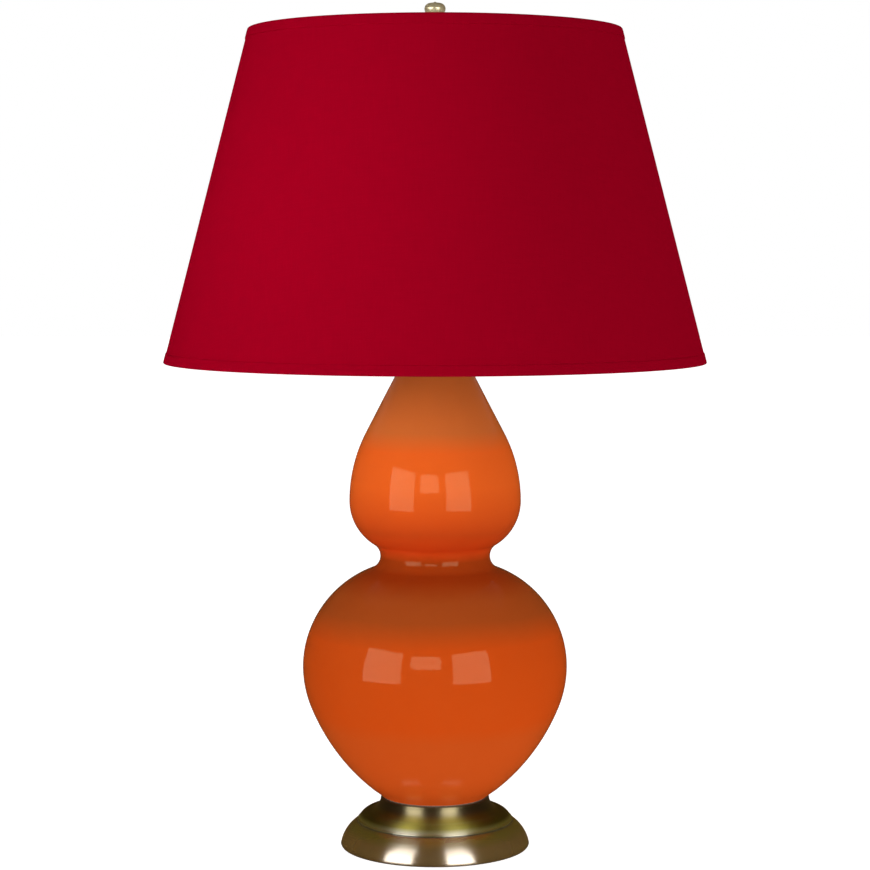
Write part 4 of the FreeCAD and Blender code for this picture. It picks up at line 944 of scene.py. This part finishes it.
def hem(name, node, rim, way, cone, cloth, material, lift):
    """Folded hem: outside the cloth, over the rim, round the wire and back inside."""
    low, high, _ = span("shade_bottom_ring")
    wire, thick, width = high - low, cloth.thickness, cloth.hem_width
    cloth_room, liner_wall = 0.0006, 0.0008
    inside = cone.skin + cloth_room + liner_wall

    def round_wire(*places):
        return [(inside + wire * out, wire * up) for out, up in places]

    profile = [(thick + 0.0002, width), (0.0001, width - 0.0003), (0.0, width - 0.001)]
    profile += [(0.0, width * share) for share in (0.75, 0.5, 0.25)]
    profile += [(0.0001, 0.0006), (0.0005, 0.0001), (0.0011, 0.0)]
    profile += [(inside, 0.0), (inside + wire * 0.5, 0.0002)]
    profile += round_wire((0.95, 0.35), (1.12, 0.75), (0.95, 1.2), (0.45, 1.6))
    profile += [(inside + 0.0005, cloth.hem_inside), (inside + 0.00005, cloth.hem_inside)]
    profile += round_wire((0.35, 1.5), (0.8, 1.1), (0.97, 0.75), (0.8, 0.4))
    profile += [(inside + wire * 0.4, 0.0006), (inside, 0.0004), (thick + 0.0002, 0.0005)]
    rows = [(inset, rim + way * depth) for inset, depth in profile]
    return dress(cone_band(name, rows, cone, lift=lift), "shade", "hem_cloth", material, node)


class LAMP_OT_shade(bpy.types.Operator):
    """Cloth over a stiff liner, folded hems, back seam, rings and spider"""
    bl_idname = "lamp.shade"
    bl_label = "Shade"

    def execute(self, context):
        self.cover(context.scene.lamp_cloth)
        self.inside(context.scene.lamp_cloth, context.scene.lamp_metals)
        return {"FINISHED"}

    def cover(self, cloth):
        cone = Cone()
        edge, steps, slack = 0.0004, 60, 0.0004

        def pulled(height, angle):
            """The cloth lies a hair unevenly on its liner."""
            return noise.noise(Vector((math.cos(angle) * 2.2, math.sin(angle) * 2.2, height * 3.0))) * slack

        levels = [cone.low + edge + (cone.high - cone.low - 2 * edge) * i / steps for i in range(steps + 1)]

        def skin(outer, inner):
            return [(outer, height) for height in levels] + [(inner, height) for height in reversed(levels)]

        cover = cone_band("shade_cloth", skin(cone.skin, cone.skin + cloth.thickness), cone, lift=pulled)
        crimson = cloth_finish("shade_cloth", cloth, 0.90)
        dress(cover, "shade", "shade_cloth", crimson, "shade_fabric")
        folded = cloth_finish("hem_cloth", cloth, 0.88)
        pieces = [hem("bottom_hem", "shade_bottom_trim", cone.low, 1, cone, cloth, folded, pulled),
                  hem("top_hem", "shade_top_trim", cone.high, -1, cone, cloth, folded, pulled)]
        lap = cloth.lap / 2 / cone.radius(cone.low)
        seam = cone_band("back_seam", skin(cone.skin - 0.0005, cone.skin + 0.0001), cone, 6,
                         math.pi / 2 - lap, 2 * lap)
        pieces.append(dress(seam, "shade", "shade_cloth", crimson))

    def inside(self, cloth, metals):
        liner = grainy("shade_liner", cloth.liner, [c * 0.93 for c in cloth.liner], 0.5, 60.0, 0.00006,
                       Specular_IOR_Level=0.3)
        finish_nodes(liner, "shade_liner")
        finish_nodes(grainy("shade_wire", (0.74, 0.72, 0.68), (0.62, 0.60, 0.56), 0.35, 150.0, 0.00005),
                     "shade_top_ring", "shade_bottom_ring")
        brass = grainy("spider_brass", metals.brass, (0.5, 0.36, 0.16), 0.25, 100.0, 0.00003, Metallic=1.0)
        finish_nodes(brass, "spider_arm_1", "spider_arm_2", "spider_arm_3")

        low, high, outer = span("spider_hub")
        hole, edge = 0.0036, 0.0003
        corners = [(hole, low), (outer - edge, low), (outer, low + edge), (outer, high - edge),
                   (outer - edge, high), (hole + edge, high), (hole, high - edge)]
        hub = spin("spider_washer", outline(corners), 96, sharp=30)
        dress(hub, "shade", "spider_brass", brass, "spider_hub")


# ---------------------------------------------------------------- finial
class LAMP_OT_finial(bpy.types.Operator):
    """Turned finial in two pieces"""
    bl_idname = "lamp.finial"
    bl_label = "Finial"

    def execute(self, context):
        # pale colour: aged brass with a painted reflection of bright surroundings
        brass = turned_metal("finial_brass", context.scene.lamp_metals.aged_brass_and_painted_reflection, (0.50, 0.42, 0.22), 0.36,
                             rings=1200.0, Metallic=0.55)
        low, high, foot = span("finial_base")
        bore, waist, seat, edge = 0.00325, 0.0052, 0.0064, 0.0008
        corners = [(bore, low), (foot - edge, low), (foot, low + edge), (foot, low + 0.0018),
                   (foot - 0.0006, low + 0.0024), (waist, low + 0.0054), (waist, high - 0.0024),
                   (seat - 0.0003, high - 0.0013), (seat, high - 0.0009), (seat - 0.0003, high), (bore, high)]
        base = spin("finial_turning", outline(corners, {4: (0.0035, 1), 6: (0.0016, 1)}, 0.001), 96)
        dress(base, "finial", "finial_brass", brass, "finial_base")

        low, high, wide = span("finial_knob")
        neck, neck_top, widest, cap = 0.0049, low + 0.010, low + 0.018, 0.001
        shoulder, tip = high - 0.0016, 0.0019
        corners = [(bore, low), (neck, low), (neck, low + 0.0035), (neck + 0.0009, low + 0.0043),
                   (neck, low + 0.0051), (neck, neck_top), (wide, widest), (tip, shoulder),
                   (tip, shoulder + 0.0003), (0, high), (0, low + cap), (bore, low + cap)]
        rounds = {2: (0.0012, 1), 3: (0.0012, -1), 5: (0.0095, 1), 6: (0.0056, 1), 8: (0.0024, 1)}
        knob = spin("finial_button", outline(corners, rounds, 0.001), 96, sharp=45)
        dress(knob, "finial", "finial_brass", brass, "finial_knob")
        return {"FINISHED"}


# ---------------------------------------------------------------- fasteners
class LAMP_OT_fasteners(bpy.types.Operator):
    """Finish of the pipe, nuts, washers, gaskets and the cast weight"""
    bl_idname = "lamp.fasteners"
    bl_label = "Fasteners"

    def execute(self, context):
        metals = context.scene.lamp_metals
        steel = grainy("zinc_steel", metals.steel, (0.40, 0.41, 0.38), 0.34, 120.0, 0.00004, Metallic=1.0)
        finish_nodes(steel, "lamp_pipe", "foot_lock_washer", "foot_nut", "check_nut", "socket_set_screw",
                     "switch_shaft")
        rubber = grainy("gasket_rubber", (0.10, 0.045, 0.016), (0.14, 0.065, 0.024), 0.75, 140.0, 0.00005)
        finish_nodes(rubber, "foot_gasket", "neck_gasket")
        iron = grainy("cast_weight", metals.iron, (0.09, 0.085, 0.08), 0.7, 110.0, 0.0006, Metallic=0.6)
        finish_nodes(iron, "foot_weight")
        return {"FINISHED"}


# ---------------------------------------------------------------- stage
def softbox(name, azimuth, distance, wide, low, high, strength, mirrored=False, spread=math.pi, only=None):
    """Upright area light that faces the lamp; azimuth runs right from the camera's side.

    A mirrored one shows in reflections and lights nothing, and the others don't show.
    """
    light = bpy.data.lights.new(name, "AREA")
    light.shape = "RECTANGLE"
    light.size, light.size_y = wide, high - low
    light.energy = strength * math.pi * wide * (high - low)
    light.spread = spread
    lamp = bpy.data.objects.new(name, light)
    turn = math.radians(azimuth)
    lamp.location = (distance * math.sin(turn), -distance * math.cos(turn), (low + high) / 2)
    lamp.rotation_euler = (math.pi / 2, 0, turn)
    lamp.visible_camera = False
    lamp.visible_glossy = mirrored
    lamp.visible_diffuse = not mirrored
    if only:
        lamp.light_linking.receiver_collection = shown_in(only)
    bpy.context.collection.objects.link(lamp)
    return lamp


def bare_tree(block):
    block.use_nodes = True
    block.node_tree.nodes.clear()
    return block.node_tree


def seen_rays(tree):
    """1 for rays that show the surroundings, 0 for those that only carry their light."""
    path = add(tree, "ShaderNodeLightPath").outputs
    return maths(tree, "MAXIMUM", path["Is Camera Ray"],
                 maths(tree, "MAXIMUM", path["Is Glossy Ray"], path["Is Transmission Ray"]))


class LAMP_OT_stage(bpy.types.Operator):
    """Pale floor, white surroundings, tall window lights and the camera"""
    bl_idname = "lamp.stage"
    bl_label = "Stage"

    def execute(self, context):
        stage = context.scene.lamp_stage
        context.scene.view_settings.view_transform = "Standard"
        self.floor(stage)
        self.world(context, stage)
        self.flags(stage)
        self.lamps(stage)
        self.camera(context, stage)
        return {"FINISHED"}

    def lamps(self, stage):
        sill, head, top = 0.02, 0.96, 2.3
        window_distance, lamp_distance, beam = 1.6, 1.5, math.radians(60)
        panes = (("left", -45, 0.98), ("right", 31, 0.94))
        for side, azimuth, wide in panes:
            softbox(f"{side}_window", azimuth, window_distance, wide, sill, head, stage.windows, True)
        softbox("small_window", -8, 2.0, 0.9, 0.54, 1.07, stage.windows, True, only="glaze")
        for side, azimuth, wide in panes:
            softbox(f"{side}_transom", azimuth, window_distance, wide, head, top, stage.transoms, True,
                    only="brass")
        # name, azimuth, width, lower and upper edge, radiance
        for name, azimuth, wide, low, high, strength in (
                ("front_light", 0, 1.2, 0.02, 0.35, stage.front),
                ("upper_front_light", 0, 1.2, 0.35, 0.70, stage.brow),
                ("right_light", 45, 0.9, 0.45, 0.9, stage.right),
                ("side_light", 88, 0.9, 0.30, 0.72, stage.side)):
            softbox(name, azimuth, lamp_distance, wide, low, high, strength)
        softbox("shade_light", -50, 1.3, 0.4, 0.5, 0.78, stage.shade, spread=beam)
        table = softbox("table_light", 0, 0.0, 0.5, 0.0, 0.5, stage.table)
        table.location = (0, 0, 0.004)
        table.rotation_euler = (math.pi, 0, 0)

    def camera(self, context, stage):
        camera = bpy.data.objects.new("camera", bpy.data.cameras.new("camera"))
        camera.data.lens = stage.focal
        camera.data.sensor_width = 36
        camera.location = (0, -stage.eye_distance, stage.eye_height)
        camera.rotation_euler = (math.pi / 2 - stage.eye_pitch, 0, 0)
        bpy.context.collection.objects.link(camera)
        context.scene.camera = camera

    def floor(self, stage):
        half, white, lit_white = stage.floor_size / 2, 0.80, 0.9
        corners = [(x * half, y * half, 0) for x, y in ((-1, -1), (1, -1), (1, 1), (-1, 1))]
        floor = solid("floor", corners, [(0, 1, 2, 3)])
        material = bpy.data.materials.new("floor")
        tree = bare_tree(material)
        chalk = add(tree, "ShaderNodeBsdfDiffuse", {"Color": (white, white, white, 1)}).outputs[0]
        glow = add(tree, "ShaderNodeEmission", {"Color": (1, 1, 1, 1), "Strength": lit_white}).outputs[0]
        both = add(tree, "ShaderNodeAddShader", {0: chalk, 1: glow}).outputs[0]
        mix = add(tree, "ShaderNodeMixShader", {0: seen_rays(tree), 1: chalk, 2: both}).outputs[0]
        add(tree, "ShaderNodeOutputMaterial", {0: mix})
        floor.data.materials.append(material)

    def flags(self, stage):
        """Dark cards round and over the set and on its table. Only reflections show them,
        so that the glaze and the brass keep their depth against the white background."""
        reach, top, sides, lift = stage.flag_reach, stage.flag_height, 64, 0.0002
        ring = [(reach * math.cos(TAU * i / sides), reach * math.sin(TAU * i / sides)) for i in range(sides)]
        verts = [(x, y, z) for z in (0, top) for x, y in ring]
        faces = [(i, (i + 1) % sides, sides + (i + 1) % sides, sides + i) for i in range(sides)]
        faces.append(range(sides, 2 * sides))
        self.card("flags", verts, faces, stage.flag_tint, stage)
        self.card("table_flag", [(x, y, lift) for x, y in ring], [range(sides)], stage.apron_tint, stage)

    def card(self, name, verts, faces, near, stage):
        """Card of the flags' tint, with another tint near the foot."""
        card = solid(name, verts, faces)
        material = bpy.data.materials.new(name)
        tree = bare_tree(material)
        place = add(tree, "ShaderNodeTexCoord").outputs["Object"]
        away = add(tree, "ShaderNodeVectorMath", {0: place}, operation="LENGTH").outputs["Value"]
        edge = ramp(tree, away, stage.apron_reach, stage.apron_reach * 1.06)
        tint = blended(tree, edge, rgba(near), rgba(stage.flag_tint))
        glow = add(tree, "ShaderNodeEmission", {"Color": tint, "Strength": 1.0})
        add(tree, "ShaderNodeOutputMaterial", {0: glow.outputs[0]})
        card.data.materials.append(material)
        for ray in ("camera", "diffuse", "transmission", "volume_scatter", "shadow"):
            setattr(card, f"visible_{ray}", False)

    def world(self, context, stage):
        context.scene.world = bpy.data.worlds.new("surroundings")
        tree = bare_tree(context.scene.world)
        rise = parts_of(tree, add(tree, "ShaderNodeTexCoord").outputs["Generated"])[2]
        wall_top, ceiling = 0.25, 0.5
        room = ramp(tree, rise, wall_top, ceiling, stage.horizon + stage.sky, stage.sky)
        strength = add(tree, "ShaderNodeMix", {0: seen_rays(tree), 2: room, 3: 1.0}).outputs[0]
        glow = add(tree, "ShaderNodeBackground", {"Color": (1, 1, 1, 1), "Strength": strength})
        add(tree, "ShaderNodeOutputWorld", {0: glow.outputs[0]})


# ---------------------------------------------------------------- panel
OPERATORS = (LAMP_OT_stage, LAMP_OT_gourd, LAMP_OT_foot, LAMP_OT_neck, LAMP_OT_socket, LAMP_OT_switch,
             LAMP_OT_bulb, LAMP_OT_harp, LAMP_OT_shade, LAMP_OT_finial, LAMP_OT_fasteners)
SETTINGS = {"lamp_gourd": GourdSettings, "lamp_foot": FootSettings, "lamp_cloth": ClothSettings,
            "lamp_metals": MetalSettings, "lamp_stage": StageSettings}


class LAMP_PT_panel(bpy.types.Panel):
    bl_label = "Double gourd lamp"
    bl_idname = "LAMP_PT_panel"
    bl_space_type = "VIEW_3D"
    bl_region_type = "UI"
    bl_category = "Lamp"

    def draw(self, context):
        for operator in OPERATORS:
            self.layout.operator(operator.bl_idname)
        for name, settings in SETTINGS.items():
            box = self.layout.box()
            for prop in settings.__annotations__:
                box.prop(getattr(context.scene, name), prop)


def register():
    for settings in SETTINGS.values():
        bpy.utils.register_class(settings)
    for name, settings in SETTINGS.items():
        setattr(bpy.types.Scene, name, PointerProperty(type=settings))
    for operator in OPERATORS:
        bpy.utils.register_class(operator)
    bpy.utils.register_class(LAMP_PT_panel)


def unregister():
    bpy.utils.unregister_class(LAMP_PT_panel)
    for operator in reversed(OPERATORS):
        bpy.utils.unregister_class(operator)
    for name in SETTINGS:
        delattr(bpy.types.Scene, name)
    for settings in reversed(SETTINGS.values()):
        bpy.utils.unregister_class(settings)


def main():
    register()
    for operator in OPERATORS:
        group_name, name = operator.bl_idname.split(".")
        getattr(getattr(bpy.ops, group_name), name)()


if __name__ == "__main__":
    main()
